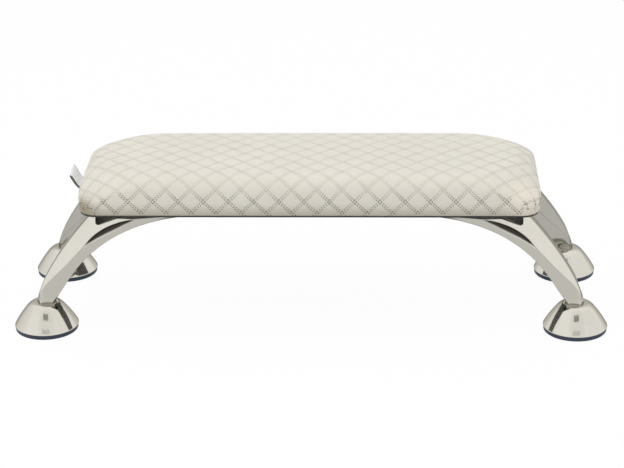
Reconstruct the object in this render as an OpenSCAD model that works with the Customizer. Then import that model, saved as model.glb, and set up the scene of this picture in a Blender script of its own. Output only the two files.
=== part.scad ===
// Manicure hand rest: a quilted pad on a board, carried by four swept metal legs with bell feet.
// Millimetres. The origin is on the table under the middle of the pad, +X runs along the pad, +Z is up.
// The front is -Y.

/* [Pad] */
// Length of the pad
pad_len = 350; // [320:5:420]
// Depth of the pad from front to back
pad_depth = 122; // [114:2:150]
// Height of the pad's underside above the table
pad_height = 92.5; // [80:0.5:120]
// Thickness of the pad at its upper edge, over the underside
pad_thick = 29.5; // [26:0.5:40]
// Rise of the crown in the middle of the top
crown = 2.5; // [0:0.5:6]
// Radius of the long top edges
edge_r = 17; // [10:1:20]
// Corner radius in plan at the underside
corner_r = 14; // [8:1:20]
// Corner radius in plan where the top becomes flat
top_corner_r = 42; // [24:1:42]

/* [Cover] */
// Thickness of the quilted leatherette with its wadding
cover_t = 3.2; // [2.4:0.2:5]
// Width of one quilted diamond
diamond_w = 19.2; // [16:0.2:26]
// Depth of the stitched lines below the middle of a diamond
quilt_depth = 1.1; // [0.4:0.1:1.6]
// Width of the cover turned in under the board
turn_in_w = 18; // [12:1:22]
// Thickness of the turned-in hem
turn_in_t = 1.5; // [1:0.1:2.5]
// Radius of the cover's bottom edge
hem_r = 1.8; // [1.5:0.1:3]
// How far the side is drawn in over the board
draw_in = 0.8; // [0:0.1:1.5]

/* [Board] */
// Thickness of the plywood board
board_t = 9; // [6:0.5:10]
// Corner radius of the board
board_corner_r = 20; // [18:1:24]
// Thickness of the lining under the board
lining_t = 1; // [0.4:0.1:1.2]
// Distance of the lining's edge from the pad's edge
lining_inset = 2; // [2:0.5:10]

/* [Legs] */
// Distance of a foot's centre beyond the pad's end
foot_out = 27.5; // [15:0.5:40]
// Distance of a foot's centre inside the pad's long edge
foot_in = 5.25; // [0:0.25:12]
// Distance of a leg's top inside the pad's long edge
leg_top_in = 17; // [12:0.5:20]
// Distance of the heel inside the pad's end
heel_inset = 11; // [6:0.5:16]
// Length of the arm that runs inward from the heel
arm_len = 80; // [66:0.5:100]
// Height of the arm at its tip
arm_tip_h = 2; // [1.5:0.1:4]
// Radius of the round neck
neck_r = 7; // [6.5:0.1:7.5]
// Distance of the neck's middle inside the foot's centre
neck_shift = 0.6; // [0:0.1:2.8]
// Half the leg's depth at the side ridge
ridge_half_w = 8; // [7.5:0.1:10]
// Half the leg's depth at its outer and inner edges
edge_half_w = 5.4; // [5:0.1:7]
// Wall of the hollow leg
leg_wall = 2.2; // [1.6:0.1:2.6]
// Depth of the notch behind the heel
notch_depth = 10; // [6:0.5:12]
// Length of the notch along the arm
notch_len = 41; // [30:1:44]
// Thickness of the heel's wall at the notch
heel_wall = 2.5; // [2:0.1:4]

/* [Mounting plates] */
// Length of a plate along the pad
plate_len = 59; // [50:1:62]
// Width of a plate across the pad
plate_w = 42; // [38:1:42]
// Thickness of a plate
plate_t = 3; // [2:0.5:4]
// Corner radius of a plate
plate_corner_r = 3; // [1:0.5:5]
// Radius of a screw's shank
screw_r = 1.7; // [1.5:0.1:2.2]
// Length of a screw
screw_len = 13; // [10:0.5:13]

/* [Feet] */
// Height of the bell foot's top above the table
bell_top = 22.3; // [20:0.1:30]
// Radius of the bell at its rim
bell_r = 24.4; // [20:0.1:27]
// Radius of the bell at its shoulder
bell_shoulder_r = 13.5; // [12:0.1:16]
// Drop from the bell's top to its shoulder
bell_shoulder_drop = 2.3; // [1.5:0.1:4]
// Height of the straight lip at the rim
bell_lip = 1.0; // [1:0.1:3]
// Thickness of the bell's side
bell_wall = 2.4; // [1.8:0.1:3]
// Thickness of the web that the bolt clamps
bell_web = 4; // [3:0.1:5]
// Radius of the flat seat under the neck
bell_seat_r = 10; // [9.9:0.1:11]
// Thickness of the rubber disc
rubber_t = 3.6; // [2.5:0.1:5]
// Distance of the rubber disc's edge inside the rim
rubber_inset = 0.4; // [0.4:0.1:2]
// Radius of the foot bolt's shank
bolt_r = 3; // [2.5:0.1:3.5]
// Length of the bolt that enters the neck
bolt_grip = 9; // [8:0.5:14]

/* [Hidden] */

// Length that a cut runs past the face it opens
overrun = 1;
// Gap between soft or loosely fitted pieces
fit_gap = 0.3;
// Gap round a screw, a bolt or a staple in its hole
hole_gap = 0.1;

// Half sizes of the pad
half_x = pad_len / 2;
half_y = pad_depth / 2;
// Levels in the pad, from the underside up
cover_z = pad_height + lining_t;
board_z = cover_z + turn_in_t;
foam_z = board_z + board_t;
shoulder_z = pad_height + pad_thick - edge_r;

// Corner radius of the cover where its side starts to round over
shoulder_corner_share = 0.25;
shoulder_corner_r = corner_r + (top_corner_r - corner_r) * shoulder_corner_share;

// Half diamonds along the cloth from the middle to the side, in each direction
arc_len = edge_r * PI / 2;
cells_x = round((half_x - edge_r + arc_len) / (diamond_w / 2));
cells_y = round((half_y - edge_r + arc_len) / (diamond_w / 2));
// Cells of the smooth inner forms, from the middle to the side
smooth_x = 7;
smooth_y = 4;

// Leg places, for the leg at +X +Y
foot_x = half_x + foot_out;
foot_y = half_y - foot_in;
neck_x = foot_x - neck_shift;
leg_top_y = half_y - leg_top_in;
heel_x = half_x - heel_inset;
tip_x = heel_x - arm_len;
plate_x = heel_x - heel_wall - plate_len;
plate_y = leg_top_y + edge_half_w - leg_wall - plate_w;
seat_z = bell_top;
lean = (foot_y - leg_top_y) / (pad_height - seat_z);

// Curve of the outer edge from the neck to the heel, as shares of its run and rise
outer_shares = [[0, 0], [0.08, 0.28], [0.5, 0.66], [1, 1]];
// Curve of the arch from the neck to the arm's tip, as shares of its run and rise
arch_shares = [[0, 0], [0.125, 0.34], [0.31, 0.92], [1, 1]];
// Share of the arch that lies below the heel
heel_arch_share = 0.63;
// Place of the side ridge between the outer edge and the arch, at the stations from the neck to the heel
ridge_shares = [0.02, 0.03, 0.17, 0.35, 0.5, 0.57, 0.6, 0.58, 0.55];
// Place of the side ridge along the arm
arm_ridge_shares = [0.46, 0.46, 0.48, 0.5, 0.5, 0.5];
// How far each of those stations has changed from round to faceted
facet_shares = [0, 0.55, 1, 1, 1, 1, 1, 1, 1];
// Outline of the notch from the heel, as shares of its length and depth
notch_shares = [[0, 0.81], [0.045, 0.9], [0.125, 0.81], [0.25, 0.62], [0.43, 0.35], [0.7, 0.17], [1, 0]];
// First station of the hollow
hollow_start = 3;

// Screw, bolt and staple sizes that follow the pieces they belong to
screw_head_r = screw_r * 2.1;
screw_head_h = plate_t * 0.7;
washer_r = bolt_r * 2;
washer_t = bolt_r * 0.4;
bolt_head_r = bolt_r * 1.85;
bolt_head_h = bolt_r * 1.35;
staple_w = 10;
staple_wire = 0.6;
staple_wire_w = 1.1;
staple_bite = board_t * 0.55;
staple_inset = turn_in_w + staple_w / 2;
staples_long = 7;
staple_clear = 9;
// Label sizes
label_w = 20;
label_reach = 9.5;
label_rise = 12;
label_y = -8;
label_root_h = 5;
label_root_gap = 0.2;
// Outside and inside of the folded label, as shares of its reach and rise
label_shares = [[0, 0], [0.9, -0.05], [1.25, 0.95], [0.75, 1.05], [0.35, 0.9], [0.55, 0.4], [0, 0.12]];
label_inner_shares = [[0.08, 0.045], [0.83, 0.02], [1.15, 0.9], [0.78, 0.98], [0.47, 0.86],
  [0.64, 0.38], [0.12, 0.1]];

// Point on a cubic curve with the four control points c
function bezier(c, t) = c[0] * pow(1 - t, 3) + c[1] * 3 * t * pow(1 - t, 2)
  + c[2] * 3 * t * t * (1 - t) + c[3] * pow(t, 3);

// Control points of a curve given as shares of the way from a to b
function between(a, b, shares) = [for (s = shares) [a.x + (b.x - a.x) * s.x, a.y + (b.y - a.y) * s.y]];

// Angle round the top edge, and place in plan, of a point at the distance s along the cloth
function edge_angle(s, half, r) = s <= half - r ? 0 : min(90, (s - (half - r)) / r * 180 / PI);
function edge_place(s, half, r) = s <= half - r ? s : half - r + r * sin(edge_angle(s, half, r));

// Point x, y moved onto the contour that lies the distance inset inside hx, hy and has the corner radius r
function round_corner(x, y, hx, hy, inset, r) =
  let (ax = min(abs(x), hx - inset), ay = min(abs(y), hy - inset),
    a = ax - (hx - inset - r), b = ay - (hy - inset - r),
    in_corner = a > 0 && b > 0,
    px = in_corner ? ax - a + a * sqrt(1 - b * b / (2 * r * r)) : ax,
    py = in_corner ? ay - b + b * sqrt(1 - a * a / (2 * r * r)) : ay)
  [sign(x) * px, sign(y) * py];

// Point of a cushion's top at the lattice place i, j; sunk is how far it lies below the plain form
function top_point(i, j, nx, ny, hx, hy, r, top_r, side_r, z, rise, sunk) =
  let (sx = abs(i) / nx * (hx - r + r * PI / 2), sy = abs(j) / ny * (hy - r + r * PI / 2),
    angle = max(edge_angle(sx, hx, r), edge_angle(sy, hy, r)),
    inset = r * (1 - sin(angle)) + sunk * sin(angle),
    corner = side_r + (top_r - side_r) * cos(angle),
    p = round_corner(sign(i) * edge_place(sx, hx, r), sign(j) * edge_place(sy, hy, r),
      hx, hy, inset, min(corner, hy - inset)),
    bow = rise * cos(angle) * (1 - pow(abs(p.x) / hx, 3)) * (1 - pow(p.y / hy, 2)))
  [p.x, p.y, z + r * cos(angle) + bow - sunk * cos(angle)];

// Lattice places round the rim, in order
function rim(nx, ny) = concat(
  [for (i = [-nx : nx - 1]) [i, -ny]], [for (j = [-ny : ny - 1]) [nx, j]],
  [for (i = [nx : -1 : -nx + 1]) [i, ny]], [for (j = [ny : -1 : -ny + 1]) [-nx, j]]);

// A closed cushion: a crowned top with round edges over a side that is drawn in under the hem.
// It has nx by ny lattice cells in each quarter, and its half diamonds stand proud by quilt.
module cushion(hx, hy, r, top_r, side_r, low_r, low_z, z, rise, hem, draw, nx, ny, quilt) {
  columns = 2 * nx + 1;
  loop = rim(nx, ny);
  count = len(loop);
  top = [for (j = [-ny : ny]) for (i = [-nx : nx])
    top_point(i, j, nx, ny, hx, hy, r, top_r, side_r, z, rise, (i + j) % 2 == 0 ? quilt : 0)];
  // Each row of the side: its height, its inset, its corner radius and its share of the quilting
  rows = [[(z + low_z + hem) / 2, draw / 3, (side_r + low_r) / 2, 1], [low_z + hem, draw, low_r, 0.4],
    [low_z, draw + hem, low_r - hem / 2, 0]];
  side = [for (k = [0 : len(rows) - 1]) for (p = loop)
    let (row = rows[k], sunk = (p.x + p.y + k + 1) % 2 == 0 ? quilt * row[3] : 0,
      sx = abs(p.x) / nx * (hx - r + r * PI / 2), sy = abs(p.y) / ny * (hy - r + r * PI / 2),
      q = round_corner(sign(p.x) * edge_place(sx, hx, r), sign(p.y) * edge_place(sy, hy, r),
        hx, hy, row[1] + sunk, row[2]))
    [q.x, q.y, row[0]]];
  function top_id(p) = (p.y + ny) * columns + p.x + nx;
  function side_id(k, n) = k < 0 ? top_id(loop[n % count]) : columns * (2 * ny + 1) + k * count + n % count;
  top_faces = [for (j = [-ny : ny - 1]) for (i = [-nx : nx - 1])
    let (a = top_id([i, j]), b = top_id([i + 1, j]), c = top_id([i + 1, j + 1]), d = top_id([i, j + 1]))
    each (i + j) % 2 == 0 ? [[a, c, b], [a, d, c]] : [[a, d, b], [b, d, c]]];
  side_faces = [for (k = [-1 : len(rows) - 2]) for (n = [0 : count - 1])
    let (a = side_id(k, n), b = side_id(k, n + 1), c = side_id(k + 1, n + 1), d = side_id(k + 1, n),
      even = (loop[n].x + loop[n].y + k + 1) % 2 == 0)
    each even ? [[a, b, c], [a, c, d]] : [[a, b, d], [b, c, d]]];
  bottom_face = [[for (n = [0 : count - 1]) side_id(len(rows) - 1, n)]];
  polyhedron(points = concat(top, side), faces = concat(top_faces, side_faces, bottom_face));
}

// Flat sheet with round corners, inset from the pad's outline
module pad_sheet(inset, radius, thickness) {
  hx = half_x - inset - radius;
  hy = half_y - inset - radius;
  linear_extrude(thickness) {
    square([2 * hx, 2 * (hy + radius)], center = true);
    square([2 * (hx + radius), 2 * hy], center = true);
    for (x = [-hx, hx]) for (y = [-hy, hy]) translate([x, y]) circle(radius, $fn = 48);
  }
}

// Places of the staples: x, y and the turn about Z. The long rows end at staple_clear from the plates.
staple_row = plate_x - staple_clear - staple_w / 2;
staples = concat(
  [for (side = [-1, 1]) for (k = [0 : staples_long - 1])
    [(2 * k / (staples_long - 1) - 1) * staple_row, side * (half_y - staple_inset), 0]],
  [for (side = [-1, 1]) [side * (half_x - staple_inset), 0, 90]]);

module one_staple(gap) {
  length = staple_w + 2 * gap;
  wide = staple_wire_w + 2 * gap;
  translate([-length / 2, -wide / 2, -staple_wire]) cube([length, wide, staple_wire]);
  for (x = [-length / 2, length / 2 - staple_wire - gap])
    translate([x, -wide / 2, -staple_wire])
      cube([staple_wire + gap, wide, staple_wire + board_z - pad_height + staple_bite + gap]);
}

module place_staples(gap) {
  for (s = staples) translate([s.x, s.y, pad_height]) rotate([0, 0, s.z]) one_staple(gap);
}

// Cavity of the cover, and with a gap the space that the board and foam fill
module pad_inside(gap, low_z) {
  inset = cover_t + gap;
  cushion(half_x - inset, half_y - inset, edge_r - inset, top_corner_r - inset, shoulder_corner_r - inset,
    corner_r - inset, low_z, shoulder_z, crown, 0, 0, smooth_x, smooth_y, 0);
}

module quilted_cover() {
  color("#dedbcd") difference() {
    cushion(half_x, half_y, edge_r, top_corner_r, shoulder_corner_r, corner_r, cover_z, shoulder_z, crown,
      hem_r, draw_in, cells_x, cells_y, quilt_depth);
    pad_inside(0, foam_z - overrun);
    translate([0, 0, board_z]) pad_sheet(cover_t - fit_gap, board_corner_r + fit_gap, board_t);
    translate([0, 0, cover_z - overrun])
      pad_sheet(turn_in_w, corner_r / 2, turn_in_t + 2 * overrun);
  }
}

module foam_pad() {
  color("#e8d9a0") pad_inside(fit_gap, foam_z);
}

module base_board() {
  color("#c8a878") difference() {
    translate([0, 0, board_z]) pad_sheet(cover_t, board_corner_r, board_t);
    each_corner() plate_screws(hole_gap);
    place_staples(hole_gap);
  }
}

module bottom_lining() {
  color("#2c2b2a") difference() {
    translate([0, 0, pad_height]) pad_sheet(lining_inset, corner_r - lining_inset / 2, lining_t);
    each_corner() plate_screws(hole_gap);
    place_staples(hole_gap);
  }
}

module lining_staples() {
  color("#b5b5b8") place_staples(0);
}

// A ribbon folded into a loop, sewn to the cover's left end
module loop_label() {
  root = [-half_x - label_root_gap, cover_z + label_root_h];
  end = root + [-label_reach, label_rise];
  color("#f4f4f4") translate([0, label_y + label_w / 2, 0]) rotate([90, 0, 0])
    linear_extrude(label_w) difference() {
      polygon(between(root, end, label_shares));
      polygon(between(root, end, label_inner_shares));
    }
}

// Shows its children once at each corner; they are drawn for the corner at +X +Y
module each_corner() {
  for (x = [-1, 1]) for (y = [-1, 1]) corner_at(x, y) children();
}

module corner_at(x, y) {
  mirror([x < 0 ? 1 : 0, 0, 0]) mirror([0, y < 0 ? 1 : 0, 0]) children();
}

// Outer edge and arch of the leg at station k, in X and Z, drawn in by the wall w
function leg_ends(k, w) =
  let (rising = len(ridge_shares) - 1, along = len(arm_ridge_shares),
    outer = between([neck_x + neck_r, seat_z], [heel_x, pad_height], outer_shares),
    arch = between([neck_x - neck_r, seat_z], [tip_x, pad_height - arm_tip_h], arch_shares),
    arm_share = max(0, k - rising) / along,
    top = k <= rising ? bezier(outer, k / rising) : [heel_x + (tip_x - heel_x) * arm_share, pad_height],
    low = bezier(arch, k <= rising ? k / rising * heel_arch_share
      : heel_arch_share + (1 - heel_arch_share) * arm_share),
    run = (low - top) / norm(low - top),
    open_top = w > 0 && k >= rising)
  [open_top ? [top.x - w, pad_height + overrun] : top + run * w, low - run * w];

// Ring of twelve points at station k; the ridge stands out at both sides
function leg_ring(k, w) =
  let (rising = len(ridge_shares) - 1, ends = leg_ends(k, w), top = ends[0], low = ends[1],
    ridge = k <= rising ? ridge_shares[k] : arm_ridge_shares[k - rising - 1],
    facet = k <= rising ? facet_shares[k] : 1,
    wide = ridge_half_w - w, slim = edge_half_w - w,
    upper = wide - (wide - slim) * min(1, 2 * ridge),
    // One side from the outer edge to the arch: share of the way down, and half width
    flat = [[0, 0], [0, upper], [ridge / 2, (upper + wide) / 2], [ridge, wide],
      [(1 + ridge) / 2, (wide + slim) / 2], [1, slim], [1, 0]],
    round = [for (a = [0 : 30 : 180]) [(1 - cos(a)) / 2, sin(a) * (neck_r - w)]],
    half = [for (n = [0 : 6]) flat[n] * facet + round[n] * (1 - facet)],
    turn = concat(half, [for (n = [5 : -1 : 1]) [half[n].x, -half[n].y]]))
  [for (h = turn) let (p = top + (low - top) * h.x)
    [p.x, foot_y - lean * (p.y - seat_z) + h.y, p.y]];

module leg_body(first, last, w) {
  rings = [for (k = [first : last]) leg_ring(k, w)];
  sides = len(rings[0]);
  last_ring = len(rings) - 1;
  faces = concat(
    [for (k = [0 : last_ring - 1]) for (n = [0 : sides - 1])
      let (a = k * sides + n, b = k * sides + (n + 1) % sides)
      each [[a, b + sides, b], [a, a + sides, b + sides]]],
    [for (n = [1 : sides - 2]) [0, n, n + 1]],
    [for (n = [1 : sides - 2]) [last_ring * sides, last_ring * sides + n + 1, last_ring * sides + n]]);
  polyhedron(points = [for (r = rings) each r], faces = faces);
}

module leg() {
  rising = len(ridge_shares) - 1;
  along = len(arm_ridge_shares);
  notch_x = heel_x - heel_wall;
  notch = concat([[notch_x, pad_height + overrun]],
    [for (s = notch_shares) [notch_x - notch_len * s.x, pad_height - notch_depth * s.y]],
    [[notch_x - notch_len, pad_height + overrun]]);
  color("#d9d6cd") difference() {
    leg_body(0, rising + along, 0);
    leg_body(hollow_start, rising + along / 2, leg_wall);
    translate([0, leg_top_y + 2 * ridge_half_w, 0]) rotate([90, 0, 0]) linear_extrude(2 * ridge_half_w)
      polygon(notch);
    mounting_plate_form();
    translate([neck_x, foot_y, seat_z - overrun])
      cylinder(h = overrun + bolt_grip + hole_gap, r = bolt_r + hole_gap, $fn = 32);
  }
}

// Places of the screws in a plate
screw_edge = screw_head_r * 2.4;
screw_rows = [plate_y + screw_edge, leg_top_y - ridge_half_w - screw_head_r - fit_gap];

// Plain plate with round corners on its inner side
module mounting_plate_form() {
  translate([plate_x, plate_y, pad_height - plate_t]) linear_extrude(plate_t) {
    translate([plate_corner_r, 0]) square([plate_len - 2 * plate_corner_r, plate_w]);
    translate([0, plate_corner_r]) square([plate_len, plate_w - plate_corner_r]);
    for (x = [plate_corner_r, plate_len - plate_corner_r])
      translate([x, plate_corner_r]) circle(plate_corner_r, $fn = 32);
  }
}

module mounting_plate() {
  color("#26262a") difference() {
    mounting_plate_form();
    plate_screws(hole_gap);
  }
}

module plate_screws(gap) {
  tip_z = pad_height - plate_t + screw_len;
  color("#b5b5b8") for (x = [plate_x + screw_edge, plate_x + plate_len - screw_edge]) for (y = screw_rows)
    translate([x, y, pad_height - plate_t - gap]) rotate_extrude($fn = 32) polygon([[0, 0],
      [screw_head_r + gap, 0], [screw_head_r + gap, gap], [screw_r + gap, screw_head_h + gap],
      [screw_r + gap, screw_len - screw_r + gap], [0, screw_len + 2 * gap]]);
}

module bell_foot() {
  cone_low = rubber_t + bell_lip;
  shoulder = bell_top - bell_shoulder_drop;
  color("#d6d3c8") difference() {
    translate([foot_x, foot_y, 0]) rotate_extrude($fn = 96) polygon([
      [0, bell_top], [bell_seat_r, bell_top],
      [(bell_seat_r + bell_shoulder_r) / 2, bell_top - bell_shoulder_drop * 0.3],
      [bell_shoulder_r - bell_lip / 2, shoulder + bell_lip / 2], [bell_shoulder_r, shoulder - bell_lip / 4],
      [bell_r, cone_low], [bell_r, rubber_t + bell_lip / 4], [bell_r - bell_lip / 4, rubber_t],
      [bell_r - bell_wall, rubber_t], [bell_r - bell_wall, cone_low],
      [bell_shoulder_r - bell_wall, bell_top - bell_web], [0, bell_top - bell_web]]);
    translate([neck_x, foot_y, bell_top - bell_web - overrun])
      cylinder(h = bell_web + 2 * overrun, r = bolt_r + fit_gap, $fn = 32);
  }
}

module rubber_disc() {
  disc_r = bell_r - rubber_inset;
  spigot_r = bell_r - bell_wall - fit_gap;
  chamfer = rubber_t / 4;
  color("#22304a") translate([foot_x, foot_y, 0]) rotate_extrude($fn = 96) polygon([[0, 0],
    [disc_r - chamfer, 0], [disc_r, chamfer], [disc_r, rubber_t], [spigot_r, rubber_t],
    [spigot_r, rubber_t + bell_lip], [0, rubber_t + bell_lip]]);
}

module foot_washer() {
  color("#b5b5b8") translate([neck_x, foot_y, bell_top - bell_web - washer_t]) difference() {
    cylinder(h = washer_t, r = washer_r, $fn = 48);
    translate([0, 0, -overrun]) cylinder(h = washer_t + 2 * overrun, r = bolt_r + fit_gap, $fn = 32);
  }
}

module foot_bolt() {
  head_z = bell_top - bell_web - washer_t;
  color("#9a9a9e") translate([neck_x, foot_y, 0]) {
    translate([0, 0, head_z - bolt_head_h]) cylinder(h = bolt_head_h, r = bolt_head_r, $fn = 6);
    translate([0, 0, head_z - bolt_head_h / 2])
      cylinder(h = seat_z + bolt_grip - head_z + bolt_head_h / 2, r = bolt_r, $fn = 32);
  }
}

quilted_cover();
foam_pad();
base_board();
bottom_lining();
lining_staples();
loop_label();
corner_at(-1, -1) leg();  // front_left_leg
corner_at(1, -1) leg();  // front_right_leg
corner_at(-1, 1) leg();  // rear_left_leg
corner_at(1, 1) leg();  // rear_right_leg
corner_at(-1, -1) mounting_plate();  // front_left_mounting_plate
corner_at(1, -1) mounting_plate();  // front_right_mounting_plate
corner_at(-1, 1) mounting_plate();  // rear_left_mounting_plate
corner_at(1, 1) mounting_plate();  // rear_right_mounting_plate
corner_at(-1, -1) plate_screws(0);  // front_left_plate_screws
corner_at(1, -1) plate_screws(0);  // front_right_plate_screws
corner_at(-1, 1) plate_screws(0);  // rear_left_plate_screws
corner_at(1, 1) plate_screws(0);  // rear_right_plate_screws
corner_at(-1, -1) bell_foot();  // front_left_bell_foot
corner_at(1, -1) bell_foot();  // front_right_bell_foot
corner_at(-1, 1) bell_foot();  // rear_left_bell_foot
corner_at(1, 1) bell_foot();  // rear_right_bell_foot
corner_at(-1, -1) rubber_disc();  // front_left_rubber_disc
corner_at(1, -1) rubber_disc();  // front_right_rubber_disc
corner_at(-1, 1) rubber_disc();  // rear_left_rubber_disc
corner_at(1, 1) rubber_disc();  // rear_right_rubber_disc
corner_at(-1, -1) foot_bolt();  // front_left_foot_bolt
corner_at(1, -1) foot_bolt();  // front_right_foot_bolt
corner_at(-1, 1) foot_bolt();  // rear_left_foot_bolt
corner_at(1, 1) foot_bolt();  // rear_right_foot_bolt
corner_at(-1, -1) foot_washer();  // front_left_foot_washer
corner_at(1, -1) foot_washer();  // front_right_foot_washer
corner_at(-1, 1) foot_washer();  // rear_left_foot_washer
corner_at(1, 1) foot_washer();  // rear_right_foot_washer
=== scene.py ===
import math

import bmesh
import bpy
import numpy as np
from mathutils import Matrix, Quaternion, Vector
from mathutils.kdtree import KDTree


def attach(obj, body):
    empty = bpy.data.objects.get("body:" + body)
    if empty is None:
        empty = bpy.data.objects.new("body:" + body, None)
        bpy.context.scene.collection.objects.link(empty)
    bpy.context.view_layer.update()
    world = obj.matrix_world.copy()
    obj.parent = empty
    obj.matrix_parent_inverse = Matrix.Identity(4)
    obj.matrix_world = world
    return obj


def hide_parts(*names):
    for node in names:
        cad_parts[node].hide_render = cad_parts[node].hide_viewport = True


# Quilted manicure rest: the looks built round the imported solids
# Metres, +X along the pad, front at -Y, table at Z = 0

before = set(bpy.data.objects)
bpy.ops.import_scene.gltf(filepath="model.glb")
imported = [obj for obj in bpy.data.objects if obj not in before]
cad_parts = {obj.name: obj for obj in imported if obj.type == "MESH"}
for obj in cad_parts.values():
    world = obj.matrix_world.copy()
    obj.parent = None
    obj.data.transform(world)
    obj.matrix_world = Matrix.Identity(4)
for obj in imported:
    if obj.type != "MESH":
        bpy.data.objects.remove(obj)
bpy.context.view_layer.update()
scene = bpy.context.scene
scene.view_settings.view_transform = "Standard"
corners = {"front_left": (-1, -1), "front_right": (1, -1), "rear_left": (-1, 1), "rear_right": (1, 1)}
print("frame loaded:", len(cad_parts), "nodes")


# Mesh helpers

def newPiece(name, points, faces, material=None, uvs=None):
    mesh = bpy.data.meshes.new(name)
    mesh.from_pydata(np.asarray(points).tolist(), [], [list(f) for f in faces])
    if uvs is not None:
        layer = mesh.uv_layers.new(name="cloth")
        layer.data.foreach_set("uv", np.asarray(uvs, np.float32).ravel())
    if material:
        mesh.materials.append(material)
    mesh.polygons.foreach_set("use_smooth", [True] * len(mesh.polygons))
    mesh.update()
    piece = bpy.data.objects.new(name, mesh)
    scene.collection.objects.link(piece)
    return piece


def plainMesh(piece):  # the modifiers' result as a plain mesh, with the modifiers gone
    depsgraph = bpy.context.evaluated_depsgraph_get()
    made = bpy.data.meshes.new_from_object(piece.evaluated_get(depsgraph))
    piece.modifiers.clear()
    piece.data = made
    return piece


def turnOutwards(piece, sharpDegrees=None):
    shape = bmesh.new()
    shape.from_mesh(piece.data)
    bmesh.ops.remove_doubles(shape, verts=shape.verts, dist=1e-6)
    bmesh.ops.recalc_face_normals(shape, faces=shape.faces)
    shape.to_mesh(piece.data)
    shape.free()
    if sharpDegrees:
        piece.data.set_sharp_from_angle(angle=math.radians(sharpDegrees))
    return piece


def drop(*pieces):
    for piece in pieces:
        bpy.data.objects.remove(piece, do_unlink=True)


def roundOff(outline, reach, steps):  # each corner of an open outline rounded by its own reach
    outline = [np.asarray(p, float) for p in outline]
    made = [outline[0]]
    for n in range(1, len(outline) - 1):
        before, corner, after = outline[n - 1], outline[n], outline[n + 1]
        toBefore, toAfter = before - corner, after - corner
        lengths = np.linalg.norm(toBefore), np.linalg.norm(toAfter)
        back = min(reach[n], 0.45 * lengths[0], 0.45 * lengths[1])
        start = corner + toBefore / max(lengths[0], 1e-9) * back
        end = corner + toAfter / max(lengths[1], 1e-9) * back
        for t in np.linspace(0, 1, steps + 1):
            made.append(start * (1 - t) ** 2 + corner * 2 * t * (1 - t) + end * t * t)
    made.append(outline[-1])
    return np.array(made)


def lathe(name, profile, turns, centre, material):  # profile from the axis on top to the axis below
    points = [(centre[0], centre[1], profile[0][1])]
    for radius, height in profile[1:-1]:
        for turn in range(turns):
            angle = 2 * math.pi * turn / turns
            x, y = centre[0] + radius * math.cos(angle), centre[1] + radius * math.sin(angle)
            points.append((x, y, height))
    points.append((centre[0], centre[1], profile[-1][1]))
    last, rings = len(points) - 1, len(profile) - 2
    faces = []
    for turn in range(turns):
        after = (turn + 1) % turns
        faces.append((0, 1 + turn, 1 + after))
        for ring in range(rings - 1):
            low = 1 + ring * turns
            faces.append((low + turn, low + turns + turn, low + turns + after, low + after))
        low = 1 + (rings - 1) * turns
        faces.append((low + turn, last, low + after))
    return newPiece(name, points, faces, material)


def mirrored(name, source, signs, material):  # a corner's piece from the one drawn at +X +Y
    mesh = source.data.copy()
    mesh.name = name
    points = np.zeros(len(mesh.vertices) * 3)
    mesh.vertices.foreach_get("co", points)
    mesh.vertices.foreach_set("co", (points.reshape(-1, 3) * (signs[0], signs[1], 1)).ravel())
    if signs[0] * signs[1] < 0:
        mesh.flip_normals()
    mesh.materials.clear()
    mesh.materials.append(material)
    mesh.update()
    piece = bpy.data.objects.new(name, mesh)
    scene.collection.objects.link(piece)
    return piece


def keepValues(mesh, name, values):  # one number for each point, for a material or a node tree
    mesh.attributes.new(name, "FLOAT", "POINT").data.foreach_set("value", values)


# Node helpers

def addNode(tree, kind, sockets=None, **settings):  # sockets are set to a value, or joined to an output
    made = tree.nodes.new(kind)
    for key, value in settings.items():
        setattr(made, key, value)
    for key, value in (sockets or {}).items():
        if isinstance(value, bpy.types.NodeSocket):
            tree.links.new(value, made.inputs[key])
        else:
            made.inputs[key].default_value = value
    return made


def maths(tree, operation, first, second=0.0, third=0.0):
    return addNode(tree, "ShaderNodeMath", {0: first, 1: second, 2: third}, operation=operation).outputs[0]


def apart(tree, first, second):
    return maths(tree, "ABSOLUTE", maths(tree, "SUBTRACT", first, second))


def split(tree, vector):  # into X, Y and Z
    return addNode(tree, "ShaderNodeSeparateXYZ", {0: vector}).outputs


def stretch(tree, vector, scale, turn=0.0):  # drawn out along the axes, then turned about Z
    return addNode(tree, "ShaderNodeMapping", {"Vector": vector, "Rotation": (0, 0, turn),
                                               "Scale": scale}).outputs[0]


def spread(tree, value, low, high, toLow, toHigh, smooth=True):
    kind = "SMOOTHSTEP" if smooth else "LINEAR"
    return addNode(tree, "ShaderNodeMapRange", {0: value, 1: low, 2: high, 3: toLow, 4: toHigh},
                   interpolation_type=kind).outputs[0]


def mixColour(tree, share, first, second):
    return addNode(tree, "ShaderNodeMix", {0: share, 6: first, 7: second}, data_type="RGBA").outputs[2]


def noise(tree, vector, scale, detail=3.0, roughness=0.5):
    return addNode(tree, "ShaderNodeTexNoise", {"Vector": vector, "Scale": scale, "Detail": detail,
                                                "Roughness": roughness}).outputs["Fac"]


def placeOn(tree):
    return addNode(tree, "ShaderNodeTexCoord").outputs["Object"]


def newGroup(kind, name, inputs, outputs):
    tree = bpy.data.node_groups.new(name, kind)
    for direction, sockets in (("INPUT", inputs), ("OUTPUT", outputs)):
        for label, (socketKind, value) in sockets.items():
            socket = tree.interface.new_socket(label, in_out=direction, socket_type="NodeSocket" + socketKind)
            if value is not None:
                socket.default_value = value
    return tree, tree.nodes.new("NodeGroupInput").outputs, tree.nodes.new("NodeGroupOutput").inputs


def useGroup(tree, group, sockets):
    return addNode(tree, "ShaderNodeGroup", sockets, node_tree=group).outputs


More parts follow.
